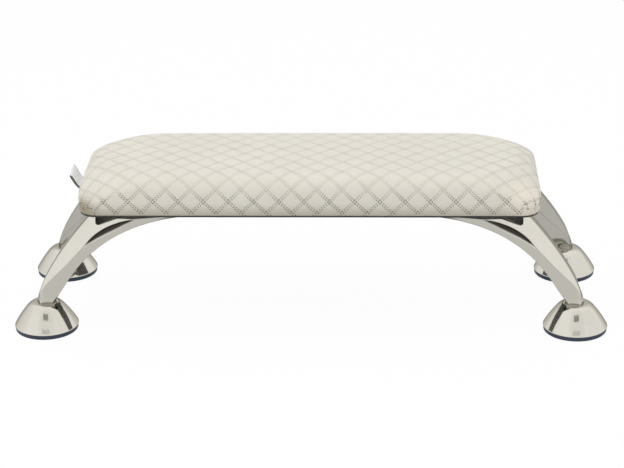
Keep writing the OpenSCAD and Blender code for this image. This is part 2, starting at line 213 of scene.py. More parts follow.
def newMaterial(name, fixed):  # fixed sockets of the shader are the same all over the surface
    material = bpy.data.materials.new(name)
    material.use_nodes = True
    shader = material.node_tree.nodes["Principled BSDF"]
    for key, value in fixed.items():
        shader.inputs[key].default_value = value
    return material, material.node_tree, shader.inputs


def bump(tree, height, distance, strength, before=None):
    sockets = {"Height": height, "Distance": distance, "Strength": strength}
    if before is not None:
        sockets["Normal"] = before
    return addNode(tree, "ShaderNodeBump", sockets).outputs["Normal"]


# Shared surface effects

def makeGrain():  # pebbled skin of leatherette, rubber and satin paint
    tree, given, out = newGroup("ShaderNodeTree", "pebbled grain", {
        "Vector": ("Vector", None), "Cells": ("Float", 900.0)},
        {"Height": ("Float", None), "Tone": ("Float", None)})
    vector = given["Vector"]
    wobble = addNode(tree, "ShaderNodeTexNoise", {"Vector": vector, "Scale": 260.0, "Detail": 2.0})
    shift = addNode(tree, "ShaderNodeVectorMath", {0: wobble.outputs["Color"], "Scale": 0.0014},
                    operation="SCALE").outputs[0]
    moved = addNode(tree, "ShaderNodeVectorMath", {0: vector, 1: shift}, operation="ADD").outputs[0]
    cells = addNode(tree, "ShaderNodeTexVoronoi", {"Vector": moved, "Scale": given["Cells"]},
                    feature="DISTANCE_TO_EDGE")
    pebble = spread(tree, cells.outputs["Distance"], 0.0, 0.32, 0.0, 1.0)
    fine = noise(tree, vector, 2600.0, 3.0)
    tree.links.new(maths(tree, "MULTIPLY_ADD", fine, 0.35, pebble), out["Height"])
    tree.links.new(spread(tree, pebble, 0.0, 0.7, 0.0, 1.0), out["Tone"])
    return tree


def makeMarks():  # wiping marks and dust that make a gloss uneven
    tree, given, out = newGroup("ShaderNodeTree", "wiping marks", {
        "Vector": ("Vector", None), "Patches": ("Float", 30.0),
        "Low": ("Float", 0.05), "High": ("Float", 0.15)},
        {"Roughness": ("Float", None), "Mask": ("Float", None)})
    broad = noise(tree, given["Vector"], given["Patches"], 4.0, 0.6)
    wipes = noise(tree, stretch(tree, given["Vector"], (60.0, 420.0, 160.0)), 3.0, 3.0, 0.6)
    both = maths(tree, "MULTIPLY_ADD", wipes, 0.45, maths(tree, "MULTIPLY", broad, 0.55))
    mask = spread(tree, both, 0.36, 0.66, 0.0, 1.0)
    tree.links.new(mask, out["Mask"])
    rough = addNode(tree, "ShaderNodeMapRange", {0: mask, 3: given["Low"], 4: given["High"]}).outputs[0]
    tree.links.new(rough, out["Roughness"])
    return tree


def makeWeave():  # over and under threads of ribbon and backing cloth
    tree, given, out = newGroup("ShaderNodeTree", "thread weave", {
        "Across": ("Float", 0.0), "Along": ("Float", 0.0)}, {"Height": ("Float", None)})
    warp = maths(tree, "SINE", maths(tree, "MULTIPLY", given["Across"], math.pi))
    weft = maths(tree, "SINE", maths(tree, "MULTIPLY", given["Along"], math.pi))
    product = maths(tree, "MULTIPLY", warp, weft)
    tree.links.new(maths(tree, "MULTIPLY_ADD", product, 0.5, 0.5), out["Height"])
    return tree


grainGroup, marksGroup, weaveGroup = makeGrain(), makeMarks(), makeWeave()


# Materials

quilt = {
    "halfDiamondX": 0.00944,   # cloth length of a half diamond along the pad
    "halfDiamondY": 0.0094,    # and across it
    "phase": (0.70, -0.457),   # the lattice's place on the pad, in half diamonds
    "uvScale": 0.02,           # lattice places times this give the cloth's UV
    "rowShift": 0.125,         # a stitch row beside its line, in half diamonds
}
leather = {
    # the groove colour is painted shade along the quilting grooves and stitch rows, and it also darkens the
    # pebbled grain
    "ivory": (0.765, 0.732, 0.645, 1), "pale": (0.80, 0.772, 0.69, 1), "grooveShadeAndGrain": (0.40, 0.37, 0.29, 1),
    # painted shade, darker towards the hem where the cloth turns under
    "hemShade": (0.44, 0.415, 0.34, 1), "hemShadeHeights": (0.0935, 0.1050), "hemShadeShare": 0.85,
    "grooveFadeBack": 0.045,        # the painted groove shade and the groove roughness fade towards the back up to here
    "lightAndShadowPatches": (               # colour, middle, reach and strength of a painted patch: painted light at the right front corner, painted shadow low at the left front corner
        ((0.94, 0.87, 0.74, 1), (0.165, -0.055, 0.106), 0.024, 0.60),
        ((0.31, 0.255, 0.165, 1), (-0.170, -0.055, 0.0935), 0.019, 0.80),
    ),
}


def makeLeatherette():
    material, tree, shader = newMaterial("ivory leatherette", {
        "Specular IOR Level": 0.42, "Sheen Weight": 0.12, "Sheen Roughness": 0.5})
    place = placeOn(tree)
    _, backwards, height = split(tree, place)
    cloth = addNode(tree, "ShaderNodeUVMap", uv_map="cloth").outputs[0]
    scale = 1 / quilt["uvScale"]
    lattice = addNode(tree, "ShaderNodeMapping", {"Vector": cloth, "Location": (-scale / 2, -scale / 2, 0),
                                                  "Scale": (scale, scale, scale)})
    parts = split(tree, lattice.outputs[0])
    distances, rows = [], []
    for operation in ("ADD", "SUBTRACT"):  # both families of quilting lines
        along = maths(tree, "MULTIPLY_ADD", maths(tree, operation, parts[0], parts[1]), 0.5, 0.5)
        distance = maths(tree, "MULTIPLY", apart(tree, maths(tree, "WRAP", along, 1.0, 0.0), 0.5), 2.0)
        distances.append(distance)
        rows.append(spread(tree, apart(tree, distance, quilt["rowShift"]), 0.0, 0.045, 1.0, 0.0))
    valley = spread(tree, maths(tree, "MINIMUM", *distances), 0.06, 0.22, 1.0, 0.0)
    # the painted groove shade fades out towards the back
    grooveFade = spread(tree, backwards, 0.0, leather["grooveFadeBack"], 1.0, 0.2)
    valley, rowMask = [maths(tree, "MULTIPLY", mask, grooveFade)
                       for mask in (valley, maths(tree, "MAXIMUM", *rows))]
    grain = useGroup(tree, grainGroup, {"Vector": place, "Cells": 820.0})
    mottle = noise(tree, place, 26.0, 4.0, 0.55)
    colour = mixColour(tree, spread(tree, mottle, 0.35, 0.65, 0.0, 0.5), leather["ivory"], leather["pale"])
    # painted shade in the quilting grooves and along the stitch rows
    colour = mixColour(tree, maths(tree, "MULTIPLY", valley, 0.07), colour, leather["grooveShadeAndGrain"])
    colour = mixColour(tree, maths(tree, "MULTIPLY", rowMask, 0.09), colour, leather["grooveShadeAndGrain"])
    # painted shade, darker towards the hem where the cloth turns under
    low = spread(tree, height, *leather["hemShadeHeights"], leather["hemShadeShare"], 0.0)
    colour = mixColour(tree, low, colour, leather["hemShade"])
    colour = mixColour(tree, spread(tree, grain["Tone"], 0.0, 1.0, 0.06, 0.0), colour, leather["grooveShadeAndGrain"])
    # painted light and painted shadow patches near the front corners
    for paintedColour, middle, reach, most in leather["lightAndShadowPatches"]:
        away = addNode(tree, "ShaderNodeVectorMath", {0: place, 1: middle}, operation="DISTANCE")
        share = spread(tree, away.outputs["Value"], 0.2 * reach, reach, most, 0.0)
        colour = mixColour(tree, share, colour, paintedColour)
    tree.links.new(colour, shader["Base Color"])
    rough = maths(tree, "MULTIPLY_ADD", mottle, 0.14, 0.36)
    tree.links.new(maths(tree, "MULTIPLY_ADD", valley, 0.08, rough), shader["Roughness"])
    normal = bump(tree, grain["Height"], 0.00012, 0.28)
    normal = bump(tree, noise(tree, place, 120.0, 3.0), 0.0006, 0.10, normal)
    tree.links.new(normal, shader["Normal"])
    return material


def makeThread():
    material, tree, shader = newMaterial("ivory sewing thread", {"Roughness": 0.55, "Sheen Weight": 0.2})
    twist = addNode(tree, "ShaderNodeTexWave", {"Vector": placeOn(tree), "Scale": 900.0, "Distortion": 2.0},
                    bands_direction="DIAGONAL").outputs["Fac"]
    tree.links.new(mixColour(tree, twist, (0.58, 0.55, 0.46, 1), (0.74, 0.71, 0.62, 1)), shader["Base Color"])
    tree.links.new(bump(tree, twist, 0.0001, 0.5), shader["Normal"])
    return material


# painted shade for the needle holes, set on the cloth as small dark flat pieces
def makeHoleShade():
    material, tree, shader = newMaterial("painted needle hole shade", {"Roughness": 0.9, "Specular IOR Level": 0.1})
    mottle = noise(tree, placeOn(tree), 700.0, 2.0)
    colour = mixColour(tree, mottle, (0.075, 0.066, 0.048, 1), (0.17, 0.15, 0.11, 1))
    tree.links.new(colour, shader["Base Color"])
    return material


plating = {
    "bright": (0.735, 0.71, 0.645, 1), "wiped": (0.70, 0.672, 0.60, 1), "glancing": (0.34, 0.33, 0.31, 1),
    "below": (0.50, 0.482, 0.435, 1),      # upright and hanging faces: painted darker reflection, with a little more roughness
    "inner": (0.415, 0.405, 0.365, 1),     # painted darker reflection on faces towards the pad's middle line
    "innerHeights": (0.0235, 0.0260),      # which begin above the bells
    "arch": (0.165, 0.157, 0.132, 1),      # painted shade on the arch under the pad
    "archHeights": (0.035, 0.060),
    "darkReflection": (0.050, 0.047, 0.038, 1),    # painted dark reflection in the coves and thin lines, by the mesh's own values
    "inside": (0.66, 0.63, 0.54, 1),       # the rough wall inside a leg
}


def makeNickel():
    material, tree, shader = newMaterial("polished nickel", {"Specular Tint": plating["glancing"]})
    place = placeOn(tree)
    marks = useGroup(tree, marksGroup, {"Vector": place, "Patches": 24.0, "Low": 0.045, "High": 0.11})
    darkReflection, inside = [addNode(tree, "ShaderNodeAttribute", attribute_name=name).outputs["Fac"]
                      for name in ("darkReflection", "inside")]
    _, toRear, upwards = split(tree, addNode(tree, "ShaderNodeNewGeometry").outputs["Normal"])
    _, backwards, height = split(tree, place)
    # painted darker reflection on upright and hanging faces
    below = spread(tree, upwards, -0.02, 0.20, 1.0, 0.0)
    # painted darker reflection on the inner sides above the bells
    inwards = spread(tree, maths(tree, "MULTIPLY", backwards, toRear), -0.040, -0.025, 1.0, 0.0)
    inner = maths(tree, "MULTIPLY", inwards, spread(tree, height, *plating["innerHeights"], 0.0, 1.0))
    # painted shade on the hanging arch under the pad
    hanging = spread(tree, upwards, -0.80, -0.45, 1.0, 0.0)
    arch = maths(tree, "MULTIPLY", hanging, spread(tree, height, *plating["archHeights"], 0.0, 1.0))
    tone = mixColour(tree, marks["Mask"], plating["bright"], plating["wiped"])
    # painted shade and painted dark reflections, and the rough wall inside a leg
    paintedShadeAndInside = {"below": below, "inner": inner, "arch": arch, "darkReflection": darkReflection, "inside": inside}
    for name, mask in paintedShadeAndInside.items():
        tone = mixColour(tree, mask, tone, plating[name])
    tree.links.new(tone, shader["Base Color"])
    tree.links.new(maths(tree, "MULTIPLY_ADD", inside, -0.85, 1.0), shader["Metallic"])
    rough = maths(tree, "MULTIPLY_ADD", maths(tree, "MAXIMUM", darkReflection, inside), 0.30, marks["Roughness"])
    tree.links.new(maths(tree, "MULTIPLY_ADD", below, 0.06, rough), shader["Roughness"])
    hairs = noise(tree, stretch(tree, place, (900.0, 120.0, 500.0)), 2.0, 2.0)
    normal = bump(tree, hairs, 0.00002, 0.10)
    normal = bump(tree, noise(tree, place, 38.0, 2.0), 0.0006, 0.10, normal)
    tree.links.new(normal, shader["Normal"])
    return material


def makeRubber():
    material, tree, shader = newMaterial("blue black rubber", {"Specular IOR Level": 0.4})
    place = placeOn(tree)
    grain = useGroup(tree, grainGroup, {"Vector": place, "Cells": 1500.0})
    marks = useGroup(tree, marksGroup, {"Vector": place, "Patches": 55.0, "Low": 0.42, "High": 0.62})
    colour = mixColour(tree, marks["Mask"], (0.021, 0.034, 0.058, 1), (0.033, 0.049, 0.078, 1))
    tree.links.new(colour, shader["Base Color"])
    tree.links.new(marks["Roughness"], shader["Roughness"])
    tree.links.new(bump(tree, grain["Height"], 0.00008, 0.2), shader["Normal"])
    return material


def makeRibbon():
    material, tree, shader = newMaterial("white ribbon", {"Sheen Weight": 0.25, "Sheen Roughness": 0.4})
    parts = split(tree, addNode(tree, "ShaderNodeUVMap", uv_map="cloth").outputs[0])
    weave = useGroup(tree, weaveGroup, {"Across": maths(tree, "MULTIPLY", parts[0], 46.0),
                                        "Along": maths(tree, "MULTIPLY", parts[1], 80.0)})
    fromEdge = maths(tree, "MINIMUM", parts[0], maths(tree, "SUBTRACT", 1.0, parts[0]))
    edge = spread(tree, fromEdge, 0.018, 0.026, 1.0, 0.0)
    colour = mixColour(tree, weave["Height"], (0.80, 0.80, 0.82, 1), (0.93, 0.93, 0.95, 1))
    tree.links.new(mixColour(tree, edge, colour, (0.03, 0.03, 0.035, 1)), shader["Base Color"])
    tree.links.new(spread(tree, weave["Height"], 0.0, 1.0, 0.62, 0.45), shader["Roughness"])
    tree.links.new(bump(tree, weave["Height"], 0.0001, 0.4), shader["Normal"])
    return material


def makeLiningCloth():
    material, tree, shader = newMaterial("black non woven lining", {
        "Sheen Weight": 0.3, "Sheen Roughness": 0.6})
    place = placeOn(tree)
    fibres = [stretch(tree, place, (300.0, 2600.0, 900.0), turn) for turn in (0.5, 2.1)]
    crossed = maths(tree, "MAXIMUM", *[noise(tree, fibre, 1.0, 3.0, 0.7) for fibre in fibres])
    parts = split(tree, place)
    dots = useGroup(tree, weaveGroup, {"Across": maths(tree, "MULTIPLY", parts[0], 900.0),
                                       "Along": maths(tree, "MULTIPLY", parts[1], 900.0)})
    pressed = spread(tree, dots["Height"], 0.70, 0.95, 0.0, 1.0)
    tone = maths(tree, "MULTIPLY_ADD", pressed, -0.35, crossed)
    share = spread(tree, tone, 0.15, 0.75, 0.0, 1.0)
    colour = mixColour(tree, share, (0.020, 0.020, 0.019, 1), (0.038, 0.038, 0.036, 1))
    tree.links.new(colour, shader["Base Color"])
    tree.links.new(spread(tree, crossed, 0.3, 0.7, 0.95, 0.75), shader["Roughness"])
    tree.links.new(bump(tree, tone, 0.0003, 0.2), shader["Normal"])
    return material


def makePlywood():
    material, tree, shader = newMaterial("raw birch plywood", {"Specular IOR Level": 0.3})
    place = placeOn(tree)
    grain = noise(tree, stretch(tree, place, (9.0, 150.0, 150.0)), 3.0, 6.0, 0.65)
    ply = maths(tree, "SINE", maths(tree, "MULTIPLY", split(tree, place)[2], 2 * math.pi / 0.0026))
    layers = spread(tree, ply, -0.2, 0.2, 0.0, 0.55)
    colour = mixColour(tree, grain, (0.47, 0.32, 0.17, 1), (0.72, 0.56, 0.36, 1))
    tree.links.new(mixColour(tree, layers, colour, (0.36, 0.22, 0.12, 1)), shader["Base Color"])
    tree.links.new(spread(tree, grain, 0.3, 0.7, 0.72, 0.55), shader["Roughness"])
    tree.links.new(bump(tree, grain, 0.0004, 0.4), shader["Normal"])
    return material


def makeFoam():
    material, tree, shader = newMaterial("open cell foam", {"Specular IOR Level": 0.2})
    place = placeOn(tree)
    cells = addNode(tree, "ShaderNodeTexVoronoi", {"Vector": place, "Scale": 1100.0}).outputs["Distance"]
    tree.links.new(mixColour(tree, cells, (0.46, 0.38, 0.20, 1), (0.82, 0.74, 0.50, 1)), shader["Base Color"])
    tree.links.new(spread(tree, cells, 0.0, 0.8, 0.98, 0.85), shader["Roughness"])
    tree.links.new(bump(tree, cells, 0.0006, 0.8), shader["Normal"])
    return material


def makeBlackPaint():
    material, tree, shader = newMaterial("black satin paint", {"Coat Weight": 0.15, "Coat Roughness": 0.3})
    place = placeOn(tree)
    grain = useGroup(tree, grainGroup, {"Vector": place, "Cells": 2400.0})
    marks = useGroup(tree, marksGroup, {"Vector": place, "Patches": 70.0, "Low": 0.34, "High": 0.52})
    tree.links.new(mixColour(tree, marks["Mask"], (0.012, 0.012, 0.013, 1), (0.034, 0.034, 0.036, 1)),
                   shader["Base Color"])
    tree.links.new(marks["Roughness"], shader["Roughness"])
    tree.links.new(bump(tree, grain["Height"], 0.00005, 0.3), shader["Normal"])
    return material


def makeZincSteel():
    material, tree, shader = newMaterial("zinc plated steel", {"Metallic": 1.0})
    place = placeOn(tree)
    marks = useGroup(tree, marksGroup, {"Vector": place, "Patches": 160.0, "Low": 0.24, "High": 0.40})
    crystals = addNode(tree, "ShaderNodeTexVoronoi", {"Vector": place, "Scale": 900.0}).outputs["Color"]
    tone = mixColour(tree, marks["Mask"], (0.62, 0.63, 0.65, 1), (0.50, 0.51, 0.53, 1))
    tree.links.new(mixColour(tree, 0.08, tone, crystals), shader["Base Color"])
    tree.links.new(marks["Roughness"], shader["Roughness"])
    tree.links.new(bump(tree, marks["Mask"], 0.00005, 0.2), shader["Normal"])
    return material


leatherette, thread, holeShade, nickel = makeLeatherette(), makeThread(), makeHoleShade(), makeNickel()
rubber, ribbon, liningCloth = makeRubber(), makeRibbon(), makeLiningCloth()
plywood, foam, blackPaint, zincSteel = makePlywood(), makeFoam(), makeBlackPaint(), makeZincSteel()
print("materials made:", len(bpy.data.materials))


# The pad's form, by places on the cloth counted in half diamonds from the middle

pad = {
    "length": 0.350, "depth": 0.122, "underside": 0.0925, "thick": 0.0295, "crown": 0.0025,
    "edgeRadius": 0.017, "cornerRadius": 0.014, "topCornerRadius": 0.056, "shoulderCornerRadius": 0.021,
    "cells": (19, 7),        # half diamonds from the middle to the side
    "steps": 12,             # mesh spans to a half diamond on the finished cover
    "simSteps": 4,           # and on the cloth that is simulated
    "simRows": (3, 7, 10, 15),  # the rows of the side that it has
    "skin": 0.0032, "skinCornerRadius": 0.0205, "clearance": 0.0002, "hemRadius": 0.0018, "drawIn": 0.0008,
    "liningThick": 0.0010, "turnIn": 0.018, "turnInThick": 0.0015, "board": 0.009,
}
halfPad = (pad["length"] / 2, pad["depth"] / 2)
coverLow = pad["underside"] + pad["liningThick"]
boardLow = coverLow + pad["turnInThick"]
foamLow = boardLow + pad["board"]
shoulder = pad["underside"] + pad["thick"] - pad["edgeRadius"]


def roundCorner(x, y, half, inset, radius):  # onto the contour at that inset, with its corner rounded
    ax, ay = np.minimum(np.abs(x), half[0] - inset), np.minimum(np.abs(y), half[1] - inset)
    a, b = ax - (half[0] - inset - radius), ay - (half[1] - inset - radius)
    inCorner = (a > 0) & (b > 0)
    across = np.where(inCorner, ax - a + a * np.sqrt(np.clip(1 - b * b / (2 * radius ** 2), 0, 1)), ax)
    deep = np.where(inCorner, ay - b + b * np.sqrt(np.clip(1 - a * a / (2 * radius ** 2), 0, 1)), ay)
    return np.sign(x) * across, np.sign(y) * deep


def edgeTurn(s, half, radius):
    return np.clip((s - (half - radius)) / radius, 0, math.pi / 2)


def planPlace(a, b, skin):  # place in plan on the cloth's square, and the turn round the top edge
    radius, half = pad["edgeRadius"] - skin, [h - skin for h in halfPad]
    turns, places = [], []
    for value, count, size in ((a, pad["cells"][0], half[0]), (b, pad["cells"][1], half[1])):
        s = np.minimum(np.abs(value) / count, 1) * (size - radius + radius * math.pi / 2)
        turn = edgeTurn(s, size, radius)
        turns.append(turn)
        places.append(np.sign(value) * np.where(turn > 0, size - radius + radius * np.sin(turn), s))
    return places, np.maximum(*turns), half, radius


def planCorner(turn):  # the plan's corner radius, which grows from the shoulder to the top
    low, high = pad["shoulderCornerRadius"], pad["topCornerRadius"]
    return low + (high - low) * np.cos(turn)


def topPoint(a, b, skin=0.0):
    (x, y), turn, half, radius = planPlace(a, b, skin)
    inset = radius * (1 - np.sin(turn))
    x, y = roundCorner(x, y, half, inset, np.minimum(planCorner(turn) - skin, half[1] - inset))
    bow = pad["crown"] * np.cos(turn) * (1 - np.abs(x / half[0]) ** 3) * (1 - (y / half[1]) ** 2)
    return np.stack([x, y, shoulder + radius * np.cos(turn) + bow], -1)


def sidePoint(a, b, inset, corner, height):  # the rim's place a, b let down the side
    (x, y), _, half, _ = planPlace(a, b, 0.0)
    x, y = roundCorner(x, y, half, inset, corner)
    return np.stack([x, y, np.full_like(x, height)], -1)


def topGrid(steps):  # places of the top's points on the cloth, and their numbers in rows
    nx, ny = pad["cells"][0] * steps, pad["cells"][1] * steps
    a, b = np.meshgrid(np.arange(-nx, nx + 1) / steps, np.arange(-ny, ny + 1) / steps)
    return a.ravel(), b.ravel(), np.arange(a.size).reshape(a.shape)


def rimPlaces(steps):  # once round from the front left corner, with the numbers of the top's points there
    nx, ny = pad["cells"][0] * steps, pad["cells"][1] * steps
    loop = ([(i, -ny) for i in range(-nx, nx)] + [(nx, j) for j in range(-ny, ny)]
            + [(i, ny) for i in range(nx, -nx, -1)] + [(-nx, j) for j in range(ny, -ny, -1)])
    i, j = np.array(loop, int).T
    return i / steps, j / steps, (j + ny) * (2 * nx + 1) + i + nx


def gridQuads(ids):  # facing up, or down where the numbers are transposed
    return np.stack([ids[:-1, :-1], ids[:-1, 1:], ids[1:, 1:], ids[1:, :-1]], -1).reshape(-1, 4)


def bandQuads(above, below):  # between two loops
    return np.stack([np.roll(above, -1), above, below, np.roll(below, -1)], -1)


def makeSideRows():  # the cloth below the shoulder: inset, corner radius, height and cloth length so far
    rows, hem = [], pad["hemRadius"]
    wide, narrow = pad["shoulderCornerRadius"], pad["cornerRadius"]
    straight = shoulder - coverLow - hem
    for share in np.linspace(0, 1, 12)[1:]:
        rows.append((pad["drawIn"] * share ** 1.6, wide + (narrow - wide) * share,
                     shoulder - straight * share, straight * share))
    for turn in np.radians([18, 36, 54, 72, 90]):
        rows.append((pad["drawIn"] + hem * (1 - math.cos(turn)), narrow,
                     coverLow + hem * (1 - math.sin(turn)), straight + hem * turn))
    return np.array(rows)


sideRows = makeSideRows()


def coverSurface(steps, rows):  # points and quads of the cloth's outside, and the loop at its hem
    a, b, ids = topGrid(steps)
    rimA, rimB, above = rimPlaces(steps)
    points, quads = [topPoint(a, b)], [gridQuads(ids)]
    for row, (inset, corner, height, _) in enumerate(rows):
        points.append(sidePoint(rimA, rimB, inset, corner, height))
        below = len(a) + row * len(rimA) + np.arange(len(rimA))
        quads.append(bandQuads(above, below))
        above = below
    return np.concatenate(points), np.concatenate(quads), above


def fanOut(points, inset, radius, developed, half):
    # The cloth laid flat round a corner: places on the lattice, and how crowded the real cloth is there
    a = np.maximum(np.abs(points[:, 0]) - (half[0] - inset - radius), 0)
    b = np.maximum(np.abs(points[:, 1]) - (half[1] - inset - radius), 0)
    size = np.maximum(np.hypot(a, b), 1e-9)
    outwards = np.stack([np.sign(points[:, 0]) * a, np.sign(points[:, 1]) * b], -1) / size[:, None]
    flat = points[:, :2] + outwards * np.reshape(developed * np.ones(len(points)), (-1, 1))
    crowd = 1 + developed / radius * np.clip(np.minimum(a, b) / 0.002, 0, 1)
    return flat / (quilt["halfDiamondX"], quilt["halfDiamondY"]) - quilt["phase"], crowd


def pointPlaces(steps, rows):  # lattice place of each point, for the quilting and the UV, and its crowding
    a, b, _ = topGrid(steps)
    _, turn, half, radius = planPlace(a, b, 0.0)
    inset = radius * (1 - np.sin(turn))
    made = [fanOut(topPoint(a, b), inset, np.minimum(planCorner(turn), half[1] - inset),
                   radius * (turn - np.sin(turn)), half)]
    rimA, rimB, _ = rimPlaces(steps)
    for rowInset, rowCorner, height, length in rows:
        made.append(fanOut(sidePoint(rimA, rimB, rowInset, rowCorner, height), rowInset, rowCorner,
                           radius * (math.pi / 2 - 1) + rowInset + length, half))
    return np.concatenate([m[0] for m in made]), np.concatenate([m[1] for m in made])


def pointNormals(points, quads):
    normals = np.zeros_like(points)
    across = np.cross(points[quads[:, 2]] - points[quads[:, 0]], points[quads[:, 3]] - points[quads[:, 1]])
    for n in range(4):
        np.add.at(normals, quads[:, n], across)
    return normals / np.maximum(np.linalg.norm(normals, axis=1, keepdims=True), 1e-12)


relief = {
    "sink": 0.00022,        # depth of the quilting lines under the diamonds
    "sinkReach": 0.0021,    # how soon a diamond rises beside its line
    "groove": 0.00016,      # extra depth of each stitch row
    "grooveWide": 0.00036,
    "puff": 0.00032,        # how far the pressure may swell a diamond
    "crowded": (1.6, 2.4),  # the quilting fades where the cloth is gathered this much
    "uneven": ((0.71, 0.43, 1.3), (-0.37, 0.93, 0.4), (0.19, -1.27, 2.2)),  # slow waves over the lattice
}
folds = {
    "middle": 0.017,        # from the pad's sides to the point that a corner's folds fan round
    "halfAngle": 38,        # degrees
    "start": 0.006,         # over the shoulder
    "deep": 0.0007,         # and each pleat's angle, width in degrees, share of this depth, and lean
    "pleats": ((-30, 6, 0.5, 10), (-9, 5, 0.8, 4), (12, 5.5, 1.0, -6), (34, 7, 0.6, -12)),
    "tuck": 0.0052,         # a tuck runs round over the hem at this height, and a roll over the tuck
    "tuckRise": 0.0022, "tuckWide": 0.0008, "rollAbove": 0.0022, "rollHigh": 0.0006, "rollWide": 0.0016,
}

# From a quilting line to half way to the next
lineHalf = (quilt["halfDiamondX"] + quilt["halfDiamondY"]) / 2 / math.sqrt(2)


def fromLines(places):  # distance to the nearest line of each family, in metres
    across, deep = places.T
    return [np.abs(((across + sign * deep) / 2 + 0.5) % 1 - 0.5) * 2 * lineHalf for sign in (1, -1)]


def quiltDepth(places):  # negative is inwards
    left, groove = 1.0, 0.0
    for distance in fromLines(places):
        fromRow = distance - quilt["rowShift"] * lineHalf
        left = left * (1 - np.exp(-(np.maximum(fromRow, 0) / relief["sinkReach"]) ** 1.25))
        groove = groove + np.exp(-(fromRow / relief["grooveWide"]) ** 2)
    return -relief["sink"] * (1 - left) - relief["groove"] * np.minimum(groove, 1.3)


def cornerFolds(points):  # the cloth gathered round each corner of the side, pulled under the board
    made, start = np.zeros(len(points)), shoulder + folds["start"]
    height = points[:, 2]
    share = np.clip((start - height) / (start - coverLow), 0, 1)
    for sx, sy in corners.values():
        x = points[:, 0] * sx - (halfPad[0] - folds["middle"])
        y = points[:, 1] * sy - (halfPad[1] - folds["middle"])
        turn = np.degrees(np.arctan2(y, x)) - 45  # -45 at the end, 0 at the corner, 45 at the long side
        near = np.exp(-(turn / folds["halfAngle"]) ** 4) * ((x > -0.012) & (y > -0.012))
        for at, wide, depth, lean in folds["pleats"]:
            off = (turn - at - lean * (1 - share) * sx) / wide
            made -= near * depth * folds["deep"] * share ** 1.4 * np.exp(-off ** 2)
        tuck = coverLow + folds["tuck"] + folds["tuckRise"] * np.clip(np.abs(turn) / 45, 0, 1)
        roll = tuck + folds["rollAbove"]
        made -= near * folds["deep"] * np.exp(-((height - tuck) / folds["tuckWide"]) ** 2)
        made += near * folds["rollHigh"] * np.exp(-((height - roll) / folds["rollWide"]) ** 2)
    return made


def upsample(count, factor, closed):  # cubic weights that take `count` coarse values to the finer ones
    fineCount = count * factor if closed else (count - 1) * factor + 1
    weights = np.zeros((fineCount, count))
    for n in range(fineCount):
        base, t = divmod(n, factor)
        t /= factor
        cubic = (-0.5 * t + t * t - 0.5 * t ** 3, 1 - 2.5 * t * t + 1.5 * t ** 3,
                 0.5 * t + 2 * t * t - 1.5 * t ** 3, -0.5 * t * t + 0.5 * t ** 3)
        for k, weight in zip(range(base - 1, base + 3), cubic):
            weights[n, k % count if closed else min(max(k, 0), count - 1)] += weight
    return weights


def puffUp(steps, rows):  # how far air pressure swells the cloth between its sewn lines, at each coarse point
    points, quads, _ = coverSurface(steps, rows)
    places = pointPlaces(steps, rows)[0]
    normals = pointNormals(points, quads)
    start = points - normals * 0.0004
    cloth = newPiece("coverCloth", start, quads)
    onLine = np.minimum(*fromLines(places)) < 0.0012
    onHem = np.arange(len(points)) >= len(points) - 2 * len(rimPlaces(steps)[0])
    pins = cloth.vertex_groups.new(name="sewn")
    pins.add(np.nonzero(onLine | onHem)[0].tolist(), 1.0, "REPLACE")
    sim = cloth.modifiers.new("swell", "CLOTH")
    sim.settings.vertex_group_mass = "sewn"
    sim.settings.quality = 6
    sim.settings.mass = 0.35
    sim.settings.tension_stiffness = sim.settings.compression_stiffness = 14
    sim.settings.shear_stiffness = 8
    sim.settings.bending_stiffness = 0.6
    sim.settings.use_pressure = True
    sim.settings.uniform_pressure_force = 4.0
    sim.settings.shrink_min = -0.02
    sim.settings.effector_weights.gravity = 0
    sim.collision_settings.use_collision = False
    scene.frame_start, scene.frame_end = 1, 20
    for frameNumber in range(1, 21):
        scene.frame_set(frameNumber)
    depsgraph = bpy.context.evaluated_depsgraph_get()
    swollen = cloth.evaluated_get(depsgraph).data
    after = np.zeros(len(points) * 3)
    swollen.vertices.foreach_get("co", after)
    rise = ((after.reshape(-1, 3) - start) * normals).sum(1)
    scene.frame_set(1)
    drop(cloth)
    print("cover swollen, from %.2f to %.2f mm" % (rise.min() * 1000, rise.max() * 1000))
    return np.clip(rise, 0, relief["puff"])


def refine(values, steps, fineSteps, coarseRows, fineRows):  # coarse values brought to the fine mesh
    factor = fineSteps // steps
    ids, rimIds = topGrid(steps)[2], rimPlaces(steps)[2]
    top = values[:ids.size].reshape(ids.shape)
    fineTop = upsample(ids.shape[0], factor, False) @ top @ upsample(ids.shape[1], factor, False).T
    side = np.concatenate([values[rimIds][None], values[ids.size:].reshape(len(coarseRows), -1)])
    fineSide = side @ upsample(side.shape[1], factor, True).T
    lengths = np.concatenate([[0.0], coarseRows[:, 3]])
    made = [fineTop.ravel()]
    for length in fineRows[:, 3]:
        made.append(np.array([np.interp(length, lengths, column) for column in fineSide.T]))
    return np.concatenate(made)


def quiltedOutside():  # the cover's outer face, with its quilting, swell and folds
    steps, rows = pad["steps"], sideRows
    points, quads, hemLoop = coverSurface(steps, rows)
    places, crowd = pointPlaces(steps, rows)
    normals = pointNormals(points, quads)
    coarseRows = rows[list(pad["simRows"])]
    diamond = np.prod([1 - np.exp(-(d / 0.003) ** 2) for d in fromLines(places)], axis=0)
    swell = relief["puff"] * 0.8
    swell = refine(puffUp(pad["simSteps"], coarseRows), pad["simSteps"], steps, coarseRows, rows)
    wander = sum(np.sin(places[:, 0] * p + places[:, 1] * q + r) for p, q, r in relief["uneven"]) / 3
    hemFade = np.clip((points[:, 2] - coverLow) / 0.0022, 0, 1)
    low, high = relief["crowded"]
    plain = np.clip((high - crowd) / (high - low), 0, 1)
    depth = quiltDepth(places) * (1 + 0.12 * wander) + swell * diamond * (0.85 + 0.15 * wander)
    depth = depth * hemFade * plain + cornerFolds(points) * hemFade - pad["clearance"]
    lifted = points + normals * depth[:, None]
    return {"points": lifted, "normals": pointNormals(lifted, quads), "quads": quads, "places": places,
            "crowd": crowd, "hemLoop": hemLoop}


